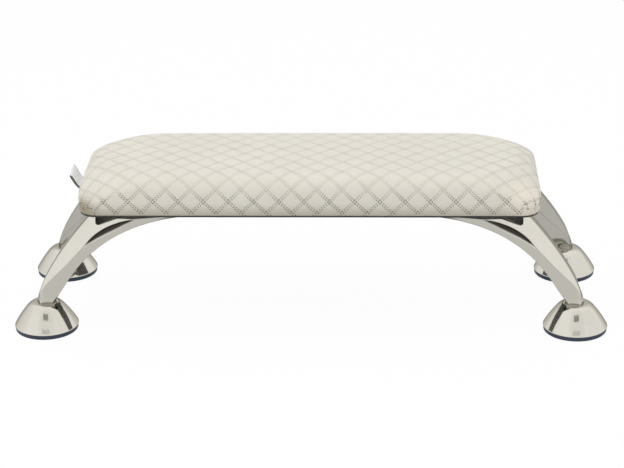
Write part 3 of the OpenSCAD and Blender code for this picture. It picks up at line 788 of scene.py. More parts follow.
def makeCover():
    outside, steps = quiltedOutside(), pad["steps"]
    count = len(outside["hemLoop"])

    # The hem is turned in under the board, and the inside follows the board and the foam
    corner, turnIn, skin = pad["cornerRadius"], pad["turnIn"], pad["skin"] - pad["clearance"]
    skinCorner, tucked = pad["skinCornerRadius"], boardLow - pad["clearance"]
    contours = ((0.006, corner - 0.003, coverLow), (turnIn, corner / 2, coverLow),
                (turnIn, corner / 2, tucked), (skin, skinCorner, tucked), (skin, skinCorner, foamLow))
    rimA, rimB, _ = rimPlaces(steps)
    points, loops = [outside["points"]], [outside["hemLoop"]]
    start = len(outside["points"])
    for inset, radius, height in contours:
        points.append(sidePoint(rimA, rimB, inset, radius, height))
        loops.append(start + np.arange(count))
        start += count
    lower = [bandQuads(u, v) for u, v in zip(loops[:-1], loops[1:])]
    a, b, ids = topGrid(1)
    points.append(topPoint(a, b, pad["skin"]))
    innerRim = rimPlaces(1)[2] + start
    bridge, last = [], loops[-1]
    for n, near in enumerate(innerRim):  # one inner span to `steps` outer ones
        far = innerRim[(n + 1) % len(innerRim)]
        for k in range(steps):
            u, v = last[(n * steps + k) % count], last[(n * steps + k + 1) % count]
            bridge.append((v, u, near if k < steps // 2 else far))
            if k == steps // 2 - 1:
                bridge.append((v, near, far))
    faces = outside["quads"].tolist() + np.concatenate(lower + [gridQuads(ids.T) + start]).tolist() + bridge
    uvs = outside["places"][outside["quads"]].reshape(-1, 2)
    restCount = sum(len(f) for f in faces) - len(uvs)
    uvs = np.concatenate([uvs, np.full((restCount, 2), 1.0)]) * quilt["uvScale"] + 0.5
    piece = newPiece("quilted_cover_cloth", np.concatenate(points), faces, leatherette, uvs)
    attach(piece, "root")
    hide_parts("quilted_cover")
    return outside


cover = makeCover()
print("cover made:", len(cover["points"]), "points outside")


# The double rows of stitches, and painted shade for their needle holes

stitch = {
    "pitch": 0.00225, "length": 0.00145, "radius": 0.00021, "lift": 0.00005,
    "holeLong": {"rising": 0.00066, "falling": 0.00043}, "holeWide": 0.00039, "holeHigh": 0.00010,
    "holeLift": 0.00006,
    "hemGap": 0.0014, "crowded": 2.0,  # no stitches nearer to the hem, or where the cloth is gathered more
}


def stitchPaths(sign):  # one family's rows, as level lines of the lattice place on the cover's own triangles
    quads, points = cover["quads"], cover["points"]
    triangles = np.concatenate([quads[:, [0, 1, 2]], quads[:, [0, 2, 3]]])
    sewn = (points[:, 2] > coverLow + stitch["hemGap"]) & (cover["crowd"] < stitch["crowded"])
    triangles = triangles[sewn[triangles].all(1)]
    across = cover["places"][:, 0] + sign * cover["places"][:, 1]
    found, lifts, edges, total = [], [], [], 0
    for shift in (-quilt["rowShift"], quilt["rowShift"]):
        level = (across - shift) / 2
        cell = np.floor(level).astype(int)
        starts, ends = triangles, np.roll(triangles, -1, axis=1)
        crossed = cell[starts] != cell[ends]
        both = crossed.sum(1) == 2
        starts, ends, crossed = starts[both], ends[both], crossed[both]
        u, v = np.minimum(starts, ends)[crossed], np.maximum(starts, ends)[crossed]
        keys, index = np.unique(u.astype(np.int64) * len(points) + v, return_inverse=True)
        u, v = keys // len(points), keys % len(points)
        t = ((np.maximum(cell[u], cell[v]) - level[u]) / (level[v] - level[u]))[:, None]
        found.append(points[u] * (1 - t) + points[v] * t)
        lifts.append(cover["normals"][u] * (1 - t) + cover["normals"][v] * t)
        edges.append(index.reshape(-1, 2) + total)
        total += len(keys)
    return np.concatenate(found), np.concatenate(lifts), np.concatenate(edges)


def endTree(tree, instances, given, out, smooth):  # real meshes with their material
    real = addNode(tree, "GeometryNodeRealizeInstances", {0: instances}).outputs[0]
    if smooth:
        real = addNode(tree, "GeometryNodeSetShadeSmooth", {"Geometry": real}).outputs[0]
    painted = addNode(tree, "GeometryNodeSetMaterial", {"Geometry": real, "Material": given["Material"]})
    tree.links.new(painted.outputs[0], out["Geometry"])
    return tree


def makeStitchTree(name, forHoles):
    tree, given, out = newGroup("GeometryNodeTree", name, {
        "Geometry": ("Geometry", None), "Pitch": ("Float", 0.002), "Long": ("Float", 0.001),
        "Wide": ("Float", 0.0003), "High": ("Float", 0.0003), "Lift": ("Float", 0.0),
        "Material": ("Material", None)}, {"Geometry": ("Geometry", None)})
    curve = addNode(tree, "GeometryNodeMeshToCurve", {"Mesh": given["Geometry"]}).outputs[0]
    even = addNode(tree, "GeometryNodeResampleCurve", {"Curve": curve, "Length": given["Pitch"]},
                   mode="LENGTH")
    lift = addNode(tree, "GeometryNodeInputNamedAttribute", {"Name": "lift"},
                   data_type="FLOAT_VECTOR").outputs[0]
    tangent = tree.nodes.new("GeometryNodeInputTangent").outputs[0]
    turn = addNode(tree, "FunctionNodeAxesToRotation", {0: tangent, 1: lift},
                   primary_axis="X", secondary_axis="Z")
    segments = 6 if forHoles else 5
    ball = addNode(tree, "GeometryNodeMeshUVSphere", {"Segments": segments, "Rings": 3, "Radius": 1.0})
    size = addNode(tree, "ShaderNodeCombineXYZ", {0: given["Long"], 1: given["Wide"], 2: given["High"]})
    form = addNode(tree, "GeometryNodeTransform", {"Geometry": ball.outputs[0], "Scale": size.outputs[0]})
    placing = {"Points": even.outputs[0], "Instance": form.outputs[0], "Rotation": turn.outputs[0]}
    away = addNode(tree, "ShaderNodeCombineXYZ", {2: given["Lift"]})
    if forHoles:  # between stitches; the painted hole shade is smaller on top, and smaller still towards the back
        tree.links.new(maths(tree, "MULTIPLY", given["Pitch"], 0.5), away.inputs[0])
        onTop = spread(tree, split(tree, lift)[2], 0.05, 0.75, 1.0, 0.42)
        place = tree.nodes.new("GeometryNodeInputPosition").outputs[0]
        behind = spread(tree, split(tree, place)[1], 0.0, 0.04, 1.0, 0.6)
        placing["Scale"] = maths(tree, "MULTIPLY", onTop, behind)
    many = addNode(tree, "GeometryNodeInstanceOnPoints", placing)
    moved = addNode(tree, "GeometryNodeTranslateInstances", {"Instances": many.outputs[0],
                                                             "Translation": away.outputs[0]})
    return endTree(tree, moved.outputs[0], given, out, True)


def grow(piece, tree, values):  # the tree's named inputs set, then the result baked to a plain mesh
    modifier = piece.modifiers.new(tree.name, "NODES")
    modifier.node_group = tree
    for item in tree.interface.items_tree:
        if item.item_type == "SOCKET" and item.in_out == "INPUT" and item.name in values:
            modifier[item.identifier] = values[item.name]
    return plainMesh(piece)


def makeStitches():
    for family, sign in (("rising", 1), ("falling", -1)):
        points, lifts, edges = stitchPaths(sign)
        kinds = {
            "stitches": {"Long": stitch["length"] / 2, "Wide": stitch["radius"],
                         "High": stitch["radius"] * 0.8, "Lift": stitch["lift"], "Material": thread},
            "needle_holes": {"Long": stitch["holeLong"][family], "Wide": stitch["holeWide"],
                             "High": stitch["holeHigh"], "Lift": stitch["holeLift"], "Material": holeShade},
        }
        for kind, values in kinds.items():
            name = family + "_" + kind
            mesh = bpy.data.meshes.new(name)
            mesh.from_pydata(points.tolist(), edges.tolist(), [])
            attribute = mesh.attributes.new("lift", "FLOAT_VECTOR", "POINT")
            attribute.data.foreach_set("vector", lifts.astype(np.float32).ravel())
            piece = bpy.data.objects.new(name, mesh)
            scene.collection.objects.link(piece)
            tree = makeStitchTree(name + " rows", kind == "needle_holes")
            grow(piece, tree, {"Pitch": stitch["pitch"], **values})
            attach(piece, "root")
            print(name, "made:", len(piece.data.polygons), "faces")


makeStitches()


# Foam block over the board

def makeFoamBlock():
    a, b, ids = topGrid(1)
    top = topPoint(a, b, pad["skin"] + 0.0003)
    rimIds = rimPlaces(1)[2]
    low = top[rimIds] * (1, 1, 0) + (0, 0, foamLow)
    below = len(top) + np.arange(len(low))
    faces = gridQuads(ids).tolist() + bandQuads(rimIds, below).tolist() + [below[::-1].tolist()]
    block = newPiece("foam_block", np.concatenate([top, low]), faces, foam)
    block.data.set_sharp_from_angle(angle=math.radians(50))
    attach(block, "root")
    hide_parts("foam_pad")


makeFoamBlock()
print("foam made")


# Legs, drawn for the corner at +X +Y

legs = {
    "footX": 0.2025, "footY": 0.05575, "neckX": 0.2019, "topY": 0.044, "heelX": 0.164, "tipX": 0.084,
    "seat": 0.0223, "tipDrop": 0.002, "neckRadius": 0.007, "ridgeHalf": 0.008, "edgeHalf": 0.0054,
    "outer": [(0, 0), (0.08, 0.28), (0.5, 0.66), (1, 1)],       # curves, in shares of their reach and rise
    "arch": [(0, 0), (0.125, 0.34), (0.31, 0.92), (1, 1)],
    "rising": 8, "along": 6, "stationsPerStep": 6,              # stations up to the heel and along the arm
    "heelShare": 0.63,                                          # of the arch, where the heel is
    "ridge": [0.02, 0.03, 0.17, 0.35, 0.49, 0.55, 0.57, 0.53, 0.49, 0.40, 0.40, 0.42, 0.46, 0.5, 0.5],
    "smoothRidge": (6.5, 10.5), "facet": [0, 0.55, 1, 1],       # the section turns from round to faceted
    "edgeRound": 0.0011, "ridgeRound": 0.0007,
    "lineTurns": (2, 3, 8, 9), "lineTone": 0.45,                # painted dark reflection along a side's two long edges
    "coveFrom": 5.9, "coveTo": 10.6, "coveDeep": 0.0022, "coveWide": 0.0050,
    "wall": 0.0022, "hollow": (3, 11),                          # hollow from and to these stations
    "notch": [(0, 0.81), (0.045, 0.9), (0.125, 0.81), (0.25, 0.62), (0.43, 0.35), (0.7, 0.17), (1, 0)],
    "notchRound": [0, 0.001, 0.0015, 0.002, 0.003, 0.004, 0.004, 0.0, 0],
    "notchLength": 0.041, "notchDepth": 0.010, "heelWall": 0.0025,
    "plate": (0.1025, 0.1615, 0.0052, 0.0472, 0.003),           # X from and to, Y from and to, thickness
    "boreRadius": 0.0031, "boreDeep": 0.0091, "overrun": 0.001,
}


def alongTable(table, k):  # a smooth value between a table's entries
    k = min(max(k, 0.0), len(table) - 1.0)
    base = min(int(k), len(table) - 2)
    t = k - base
    before, start, end, after = [table[min(max(base + n, 0), len(table) - 1)] for n in (-1, 0, 1, 2)]
    bend = 2 * before - 5 * start + 4 * end - after
    return start + 0.5 * t * (end - before + t * (bend + t * (3 * (start - end) + after - before)))


def bezier(start, end, shares, t):
    start, end = np.array(start), np.array(end)
    p = [start + (end - start) * share for share in shares]
    return p[0] * (1 - t) ** 3 + p[1] * 3 * t * (1 - t) ** 2 + p[2] * 3 * t * t * (1 - t) + p[3] * t ** 3


def legEnds(k, wall):  # outer edge and arch at station k, in X and Z
    rising, under, heelShare = legs["rising"], pad["underside"], legs["heelShare"]
    neck, radius = legs["neckX"], legs["neckRadius"]
    if k <= rising:
        top = bezier((neck + radius, legs["seat"]), (legs["heelX"], under), legs["outer"], k / rising)
        archShare = k / rising * heelShare
    else:
        share = (k - rising) / legs["along"]
        top = np.array([legs["heelX"] + (legs["tipX"] - legs["heelX"]) * share, under])
        archShare = heelShare + (1 - heelShare) * share
    tip = (legs["tipX"], under - legs["tipDrop"])
    low = bezier((neck - radius, legs["seat"]), tip, legs["arch"], archShare)
    run = (low - top) / np.linalg.norm(low - top)
    if wall and k >= rising:
        return np.array([top[0] - wall, under + legs["overrun"]]), low - run * wall
    return top + run * wall, low - run * wall


def coveAt(k):
    share = (k - legs["coveFrom"]) / (legs["coveTo"] - legs["coveFrom"])
    return math.sin(math.pi * share) ** 1.2 if 0 < share < 1 else 0.0


def ridgeAt(k):  # the ridge's share from outer edge to arch, which runs past the heel without a bend
    start, end = legs["smoothRidge"]
    if not start < k < end:
        return alongTable(legs["ridge"], k)
    def place(j):
        upper, lower = legEnds(j, 0.0)
        return upper + (lower - upper) * alongTable(legs["ridge"], j)
    first, last, span = place(start), place(end), end - start
    leave, arrive = (first - place(start - 0.2)) / 0.2 * span, (place(end + 0.2) - last) / 0.2 * span
    t = np.linspace(0, 1, 121)[:, None]
    curve = ((2 * t ** 3 - 3 * t ** 2 + 1) * first + (t ** 3 - 2 * t ** 2 + t) * leave
             + (3 * t ** 2 - 2 * t ** 3) * last + (t ** 3 - t ** 2) * arrive)
    top, low = legEnds(k, 0.0)
    across = low - top
    off = np.abs((curve - top) @ (-across[1], across[0]))
    return float((curve[off.argmin()] - top) @ across / (across @ across))


def legSide(k, wall, length, ridge, cove):  # half a faceted section, from the outer edge to the arch
    wide, slim = legs["ridgeHalf"] - wall, legs["edgeHalf"] - wall
    upper = wide - (wide - slim) * min(1.0, 2 * ridge)
    ridgePlace = ridge * length
    coveEnd = min(ridgePlace + legs["coveWide"] * max(cove, 0.25), 0.9 * length)
    coveMiddle = ridgePlace + 0.42 * (coveEnd - ridgePlace)
    def sideHalf(along):
        return wide + (slim - wide) * (along - ridgePlace) / ((1 - ridge) * length)
    outline = [(0, 0), (0, upper), (ridgePlace, wide),
               (coveMiddle, sideHalf(coveMiddle) - legs["coveDeep"] * cove),
               (coveEnd, sideHalf(coveEnd)), (length, slim), (length, 0)]
    edgeRound, ridgeRound = legs["edgeRound"], legs["ridgeRound"]
    return roundOff(outline, [0, edgeRound, ridgeRound, 0.0025, 0.0010, edgeRound, 0], 4)


def legRing(k, wall=0.0):  # points round the leg, and how much painted dark reflection the cove and the lines give each
    top, low = legEnds(k, wall)
    length = np.linalg.norm(low - top)
    ridge, facet = ridgeAt(k), alongTable(legs["facet"], k)
    cove = coveAt(k) if not wall else 0.0
    side = legSide(k, wall, length, ridge, cove)
    spans = np.concatenate([[0], np.cumsum(np.linalg.norm(np.diff(side, axis=0), axis=1))])
    angles = math.pi * spans / spans[-1]
    circle = np.stack([(1 - np.cos(angles)) / 2 * length, np.sin(angles) * (legs["neckRadius"] - wall)], -1)
    side = side * facet + circle * (1 - facet)
    ring = np.concatenate([side, side[-2:0:-1] * (1, -1)])
    place = top + (low - top) * (ring[:, 0] / length)[:, None]
    lean = (legs["footY"] - legs["topY"]) / (pad["underside"] - legs["seat"])
    y = legs["footY"] - lean * (place[:, 1] - legs["seat"]) + ring[:, 1]
    fromRidge = (ring[:, 0] - ridge * length) / (legs["coveWide"] * max(cove, 0.05))
    tone = np.clip((fromRidge + 0.02) / 0.08, 0, 1) * np.clip((1.05 - fromRidge) / 0.25, 0, 1) ** 0.7
    tone = tone * min(1, 2.5 * cove)
    for turn in legs["lineTurns"]:
        both = [turn, len(ring) - turn]
        tone[both] = np.maximum(tone[both], legs["lineTone"] * facet)
    return np.stack([place[:, 0], y, place[:, 1]], -1), tone


def ringTube(name, stations, wall):
    rings = [legRing(k, wall) for k in stations]
    sides = len(rings[0][0])
    points = np.concatenate([r[0] for r in rings])
    tones = np.concatenate([r[1] for r in rings])
    faces = []
    for station in range(len(rings) - 1):
        for n in range(sides):
            a, b = station * sides + n, station * sides + (n + 1) % sides
            faces.append((a, b, b + sides, a + sides))
    faces += [tuple(range(sides))[::-1], tuple(range((len(rings) - 1) * sides, len(rings) * sides))]
    return turnOutwards(newPiece(name, points, faces)), points, tones


def prism(name, outline, low, high, axis):  # an outline pushed along Y or Z
    count = len(outline)
    def lift(p, level):
        return (p[0], level, p[1]) if axis == "Y" else (p[0], p[1], level)
    points = [lift(p, low) for p in outline] + [lift(p, high) for p in outline]
    faces = [(n, (n + 1) % count, count + (n + 1) % count, count + n) for n in range(count)]
    faces += [tuple(range(count))[::-1], tuple(range(count, 2 * count))]
    return turnOutwards(newPiece(name, points, faces))


def cut(piece, *cutters):
    for cutter in cutters:
        modifier = piece.modifiers.new("cut", "BOOLEAN")
        modifier.operation, modifier.solver, modifier.object = "DIFFERENCE", "EXACT", cutter
        plainMesh(piece)
    drop(*cutters)
    return piece


def nearestTree(points):
    tree = KDTree(len(points))
    for n, point in enumerate(points):
        tree.insert(point, n)
    tree.balance()
    return tree


def legCutters():  # the notch behind the heel, the pocket for the plate and the bore for the bolt
    under, over = pad["underside"], pad["underside"] + legs["overrun"]
    notchX = legs["heelX"] - legs["heelWall"]
    tipX = notchX - legs["notchLength"]
    edge = [(notchX - legs["notchLength"] * s, under - legs["notchDepth"] * t) for s, t in legs["notch"]]
    edge = roundOff([(notchX, over)] + edge + [(tipX, over)], legs["notchRound"], 4)
    notch = prism("legNotch", edge, legs["topY"], legs["topY"] + 2 * legs["ridgeHalf"], "Y")
    x0, x1, y0, y1, thick = legs["plate"]
    pocket = prism("platePocket", [(x0, y0), (x1, y0), (x1, y1), (x0, y1)], under - thick, over, "Z")
    radius, angles = legs["boreRadius"], np.linspace(0, 2 * math.pi, 33)[:-1]
    circle = [(legs["neckX"] + radius * math.cos(t), legs["footY"] + radius * math.sin(t)) for t in angles]
    bore = prism("boltBore", circle, legs["seat"] - legs["overrun"], legs["seat"] + legs["boreDeep"], "Z")
    return notch, pocket, bore


def makeLegs():
    last = legs["rising"] + legs["along"]
    stations = np.linspace(0, last, last * legs["stationsPerStep"] + 1)
    first, end = legs["hollow"]
    shell, shellPoints, tones = ringTube("legShell", stations, 0.0)
    hollow, hollowPoints, _ = ringTube("legHollow", range(first, end + 1), legs["wall"])
    cut(shell, *legCutters(), hollow)
    turnOutwards(shell, 28)
    outside, inside = nearestTree(shellPoints), nearestTree(hollowPoints)
    # painted dark reflection in the coves and along the edge lines
    darkReflection = []
    for vertex in shell.data.vertices:
        _, n, away = outside.find(vertex.co)
        darkReflection.append(tones[n] if away < 0.0012 else 0.0)
    keepValues(shell.data, "darkReflection", darkReflection)
    keepValues(shell.data, "inside", [float(inside.find(v.co)[2] < 0.00002) for v in shell.data.vertices])
    for corner, signs in corners.items():
        leg = mirrored(corner + "_leg_casting", shell, signs, nickel)
        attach(leg, "root")
        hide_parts(corner + "_leg")
    drop(shell)


makeLegs()
print("legs made")


# Bell feet and their rubber discs

bell = {
    "top": 0.0223, "seatRadius": 0.010, "shoulderRadius": 0.0135, "shoulder": 0.0200, "rimRadius": 0.0244,
    "rimTop": 0.0042, "rubber": 0.0036, "wall": 0.0024, "web": 0.0183, "turns": 128,
    "swell": 0.0006, "sideSteps": 16,
    "rounds": [0, 0.0018, 0.0022, 0.0009, 0.0005, 0.0003, 0.0003, 0.001, 0],
}
disc = {
    "radius": 0.0240, "chamfer": 0.0006, "spigot": 0.0217, "spigotTop": 0.0044, "turns": 96,
    "grooves": (0.0075, 0.0125, 0.0175), "grooveHalf": 0.0006, "grooveDeep": 0.0007,
    "rounds": [0, 0.0003, 0.0002, 0.0004, 0.0006, 0.0006] + [0.0003] * 9 + [0],
}


def bellOutline():  # radius and height from the seat down to the rim, and back up the inside
    rim, inner = bell["rimRadius"], bell["rimRadius"] - bell["wall"]
    high, low = bell["shoulder"], bell["rimTop"]
    outline = [(0, bell["top"]), (bell["seatRadius"], bell["top"]), (bell["shoulderRadius"], high),
               (rim, low), (rim, bell["rubber"]), (inner, bell["rubber"]), (inner, low),
               (bell["shoulderRadius"] - bell["wall"], bell["web"]), (0, bell["web"])]
    outline = roundOff(outline, bell["rounds"], 6)
    made = []
    for (r0, z0), (r1, z1) in zip(outline, outline[1:]):
        steps = bell["sideSteps"] if r1 > r0 and z0 - z1 > 0.004 else 1
        made += [(r0 + (r1 - r0) * n / steps, z0 + (z1 - z0) * n / steps) for n in range(steps)]
    made.append(outline[-1])
    for n, (r, z) in enumerate(made):
        if r > bell["seatRadius"] and low < z < high:
            made[n] = (r + bell["swell"] * math.sin(math.pi * (high - z) / (high - low)), z)
    return made


def discOutline():  # the spigot inside the bell, the tread and its ring grooves
    radius, spigot, chamfer = disc["radius"], disc["spigot"], disc["chamfer"]
    outline = [(0, disc["spigotTop"]), (spigot, disc["spigotTop"]), (spigot, bell["rubber"]),
               (radius, bell["rubber"]), (radius, chamfer), (radius - chamfer, 0)]
    for groove in reversed(disc["grooves"]):
        outline += [(groove + disc["grooveHalf"], 0), (groove, disc["grooveDeep"]),
                    (groove - disc["grooveHalf"], 0)]
    return roundOff(outline + [(0, 0)], disc["rounds"], 3)


def makeFeet():
    bellProfile, discProfile = bellOutline(), discOutline()
    for corner, (sx, sy) in corners.items():
        centre = (sx * legs["footX"], sy * legs["footY"])
        foot = turnOutwards(lathe(corner + "_bell", bellProfile, bell["turns"], centre, nickel), 30)
        tread = turnOutwards(lathe(corner + "_rubber", discProfile, disc["turns"], centre, rubber), 40)
        for piece, node, slot in ((foot, "_bell_foot", "polished_metal"), (tread, "_rubber_disc", "rubber")):
            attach(piece, "root")
            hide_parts(corner + node)


makeFeet()
print("feet made")


# Loop label at the left end

label = {
    "width": 0.020, "middleY": -0.008, "root": (-0.1750, 0.0985), "reach": 0.0118, "rise": 0.0134,
    "thick": 0.00035,
    "path": [(0.0, 0.0), (0.22, 0.12), (0.50, 0.40), (0.72, 0.74), (0.78, 0.87), (0.73, 0.90), (0.62, 0.80),
             (0.50, 0.62), (0.34, 0.38), (0.18, 0.24), (0.0, 0.20)],  # in shares of its reach and rise
    "twist": 0.0024,  # the back corner of the fold stands higher than the front one
    "sag": 0.0005, "spans": 8, "widthSpans": 12,
}


def makeLabel():
    rootX, rootZ = label["root"]
    path = np.array([(rootX - x * label["reach"], rootZ + z * label["rise"]) for x, z in label["path"]])
    smooth = np.array([(alongTable(path[:, 0], k), alongTable(path[:, 1], k))
                       for k in np.linspace(0, len(path) - 1, (len(path) - 1) * label["spans"] + 1)])
    run = np.gradient(smooth, axis=0)
    run /= np.linalg.norm(run, axis=1, keepdims=True)
    side = np.stack([run[:, 1], -run[:, 0]], -1) * label["thick"] / 2
    spans = np.concatenate([[0], np.cumsum(np.linalg.norm(np.diff(smooth, axis=0), axis=1))])
    columns = label["widthSpans"]
    points, faces, uvs = [], [], []
    for sheet in (smooth + side, smooth - side):
        for x, z in sheet:
            outwards = (rootX - x) / label["reach"]
            for share in np.arange(columns + 1) / columns:
                sag = label["sag"] * math.sin(math.pi * share) * outwards
                points.append((x - sag, label["middleY"] + label["width"] * (share - 0.5),
                               z + label["twist"] * share * outwards - sag))
    rowLength, sheetSize = columns + 1, len(smooth) * (columns + 1)
    def uvAt(index):
        n, c = divmod(index % sheetSize, rowLength)
        return (c / columns, spans[n] / spans[-1])
    for n in range(len(smooth) - 1):
        for c in range(columns):
            a = n * rowLength + c
            faces.append((a, a + 1, a + rowLength + 1, a + rowLength))
            faces.append(tuple(sheetSize + i for i in (a, a + rowLength, a + rowLength + 1, a + 1)))
        for c in (0, columns):
            a = n * rowLength + c
            faces.append((a, a + rowLength, sheetSize + a + rowLength, sheetSize + a))
    for n in (0, len(smooth) - 1):
        for c in range(columns):
            a = n * rowLength + c
            faces.append((a, a + 1, sheetSize + a + 1, sheetSize + a))
    for face in faces:
        uvs += [uvAt(index) for index in face]
    tag = newPiece("loop_label_ribbon", points, faces, ribbon, uvs)
    turnOutwards(tag, 50)
    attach(tag, "root")
    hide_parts("loop_label")
    print("label made, ribbon %.1f mm long" % (spans[-1] * 1000))


makeLabel()


# Lining under the board, and what holds it

lining = {
    "inset": 0.002, "cornerRadius": 0.013, "thick": 0.0009, "spansX": 172, "spansY": 55,
    "pucker": 0.00016,    # how far a staple draws the cloth in
}
staples = {
    "width": 0.010, "wire": 0.0006, "wireWide": 0.0011, "leg": 0.0078, "row": 0.090, "perRow": 7,
    "insetLong": 0.023, "insetEnd": 0.023,
}


def staplePlaces():
    places = [(x, side * (halfPad[1] - staples["insetLong"]), 0.0) for side in (-1, 1)
              for x in np.linspace(-staples["row"], staples["row"], staples["perRow"])]
    return places + [(side * (halfPad[0] - staples["insetEnd"]), 0.0, math.pi / 2) for side in (-1, 1)]


def makeLining():
    nx, ny = lining["spansX"], lining["spansY"]
    x, y = np.meshgrid(np.linspace(-1, 1, nx + 1) * (halfPad[0] - lining["inset"]),
                       np.linspace(-1, 1, ny + 1) * (halfPad[1] - lining["inset"]))
    x, y = roundCorner(x.ravel(), y.ravel(), halfPad, lining["inset"], lining["cornerRadius"])
    under = np.full(len(x), pad["underside"] + 0.00002)
    for sx, sy, turn in staplePlaces():
        along, across = ((x - sx), (y - sy)) if turn == 0 else ((y - sy), (x - sx))
        dip = np.exp(-(np.maximum(np.abs(along) - 0.004, 0) / 0.004) ** 2 - (across / 0.003) ** 2)
        fold = np.cos(across / 0.0016) * np.exp(-(along / 0.012) ** 2 - (across / 0.010) ** 2) * 0.4
        under = np.maximum(under, pad["underside"] + lining["pucker"] * (dip + np.maximum(fold, 0)))
    under = np.minimum(under, coverLow - lining["thick"])
    low, high = np.stack([x, y, under], -1), np.stack([x, y, under + lining["thick"]], -1)
    ids = np.arange(len(x)).reshape(ny + 1, nx + 1)
    rim = np.concatenate([ids[0, :-1], ids[:-1, -1], ids[-1, :0:-1], ids[:0:-1, 0]])
    down = gridQuads(ids.T)
    faces = np.concatenate([down, down[:, ::-1] + len(x), bandQuads(rim + len(x), rim)]).tolist()
    cloth = turnOutwards(newPiece("lining_cloth", np.concatenate([low, high]), faces, liningCloth), 50)
    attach(cloth, "root")
    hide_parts("bottom_lining")


def stapleForm():  # one bent wire, crown down at Z = 0 and legs up into the board
    half, top = staples["width"] / 2, staples["leg"]
    wire, wide = staples["wire"], staples["wireWide"] / 2
    inHalf = half - wire
    outer = roundOff([(-half, top), (-half, 0), (half, 0), (half, top)], [0, 0.0009, 0.0009, 0], 4)
    inner = [(-inHalf, top), (-inHalf, wire), (inHalf, wire), (inHalf, top)]
    inner = roundOff(inner, [0, 0.0004, 0.0004, 0], 4)
    count = len(outer)
    points = [(x, y, z) for outline in (outer, inner) for y in (-wide, wide) for x, z in outline]
    faces = []
    for n in range(count - 1):
        a, b, c, d = n, count + n, 3 * count + n, 2 * count + n
        faces += [(a, a + 1, b + 1, b), (d, c, c + 1, d + 1), (a, d, d + 1, a + 1), (b, b + 1, c + 1, c)]
    for n in (0, count - 1):
        faces.append((n, count + n, 3 * count + n, 2 * count + n))
    return turnOutwards(newPiece("stapleForm", points, faces), 30)


screws = {
    "headRadius": 0.00357, "headHigh": 0.0021, "shank": 0.0017, "length": 0.013, "turns": 40,
    "slotHalf": 0.00048, "slotReach": 0.0021, "slotDeep": 0.0012,
    "headRings": (0.0004, 0.0008, 0.0012, 0.0016, 0.0019, 0.0022, 0.0026, 0.0031),
    "pitch": 0.0013, "rootShare": 0.72,
}


def screwForm():  # head down at Z = 0, with a cross recess, and a ringed shank going up
    points, faces, turns = [(0, 0, screws["slotDeep"])], [], screws["turns"]
    shank, level = screws["shank"], screws["headHigh"]
    profile = [(r, 0.0) for r in screws["headRings"] + (screws["headRadius"] - 0.0002,)]
    profile += [(screws["headRadius"], 0.0003), (shank, level)]
    while level < screws["length"] - 0.0034:  # rings stand for the thread
        profile += [(shank, level + 0.0005), (shank * screws["rootShare"], level + 0.0009),
                    (shank, level + screws["pitch"])]
        level += screws["pitch"]
    profile += [(shank * 0.7, screws["length"] - 0.0018)]
    for radius, height in profile:
        slotDepth = screws["slotDeep"] * (1 - radius / screws["slotReach"] * 0.45)
        for turn in range(turns):
            angle = 2 * math.pi * turn / turns
            x, y = radius * math.cos(angle), radius * math.sin(angle)
            onCross = min(abs(x), abs(y)) <= screws["slotHalf"] * 1.05
            inSlot = height == 0.0 and radius <= screws["slotReach"] and onCross
            points.append((x, y, slotDepth if inSlot else height))
    points.append((0, 0, screws["length"]))
    count = len(profile)
    for turn in range(turns):
        after = (turn + 1) % turns
        faces.append((0, 1 + after, 1 + turn))
        for ring in range(count - 1):
            low = 1 + ring * turns
            faces.append((low + turn, low + after, low + turns + after, low + turns + turn))
        faces.append((1 + (count - 1) * turns + turn, 1 + (count - 1) * turns + after, len(points) - 1))
    return turnOutwards(newPiece("screwForm", points, faces), 40)


def makeFastenerTree(name):
    tree, given, out = newGroup("GeometryNodeTree", name, {
        "Geometry": ("Geometry", None), "Form": ("Object", None), "Size": ("Float", 1.0),
        "Turn spread": ("Float", 0.0), "Seed": ("Int", 4), "Material": ("Material", None)},
        {"Geometry": ("Geometry", None)})
    form = addNode(tree, "GeometryNodeObjectInfo", {"Object": given["Form"]}).outputs["Geometry"]
    stated = addNode(tree, "GeometryNodeInputNamedAttribute", {"Name": "turn"}, data_type="FLOAT").outputs[0]
    most = given["Turn spread"]
    least = maths(tree, "MULTIPLY", most, -1.0)
    loose = addNode(tree, "FunctionNodeRandomValue", {2: least, 3: most, "Seed": given["Seed"]},
                    data_type="FLOAT").outputs[1]
    angles = addNode(tree, "ShaderNodeCombineXYZ", {2: maths(tree, "ADD", stated, loose)}).outputs[0]
    rotation = addNode(tree, "FunctionNodeEulerToRotation", {0: angles}).outputs[0]
    many = addNode(tree, "GeometryNodeInstanceOnPoints", {"Points": given["Geometry"], "Instance": form,
                                                          "Rotation": rotation, "Scale": given["Size"]})
    return endTree(tree, many.outputs[0], given, out, False)


def setFasteners(name, places, form, tree, turnSpread, nodes):
    mesh = bpy.data.meshes.new(name)
    mesh.from_pydata([p[:3] for p in places], [], [])
    keepValues(mesh, "turn", [p[3] for p in places])
    piece = bpy.data.objects.new(name, mesh)
    scene.collection.objects.link(piece)
    grow(piece, tree, {"Form": form, "Size": 1.0, "Turn spread": turnSpread, "Seed": 4,
                       "Material": zincSteel})
    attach(piece, "root")
    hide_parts(*nodes)


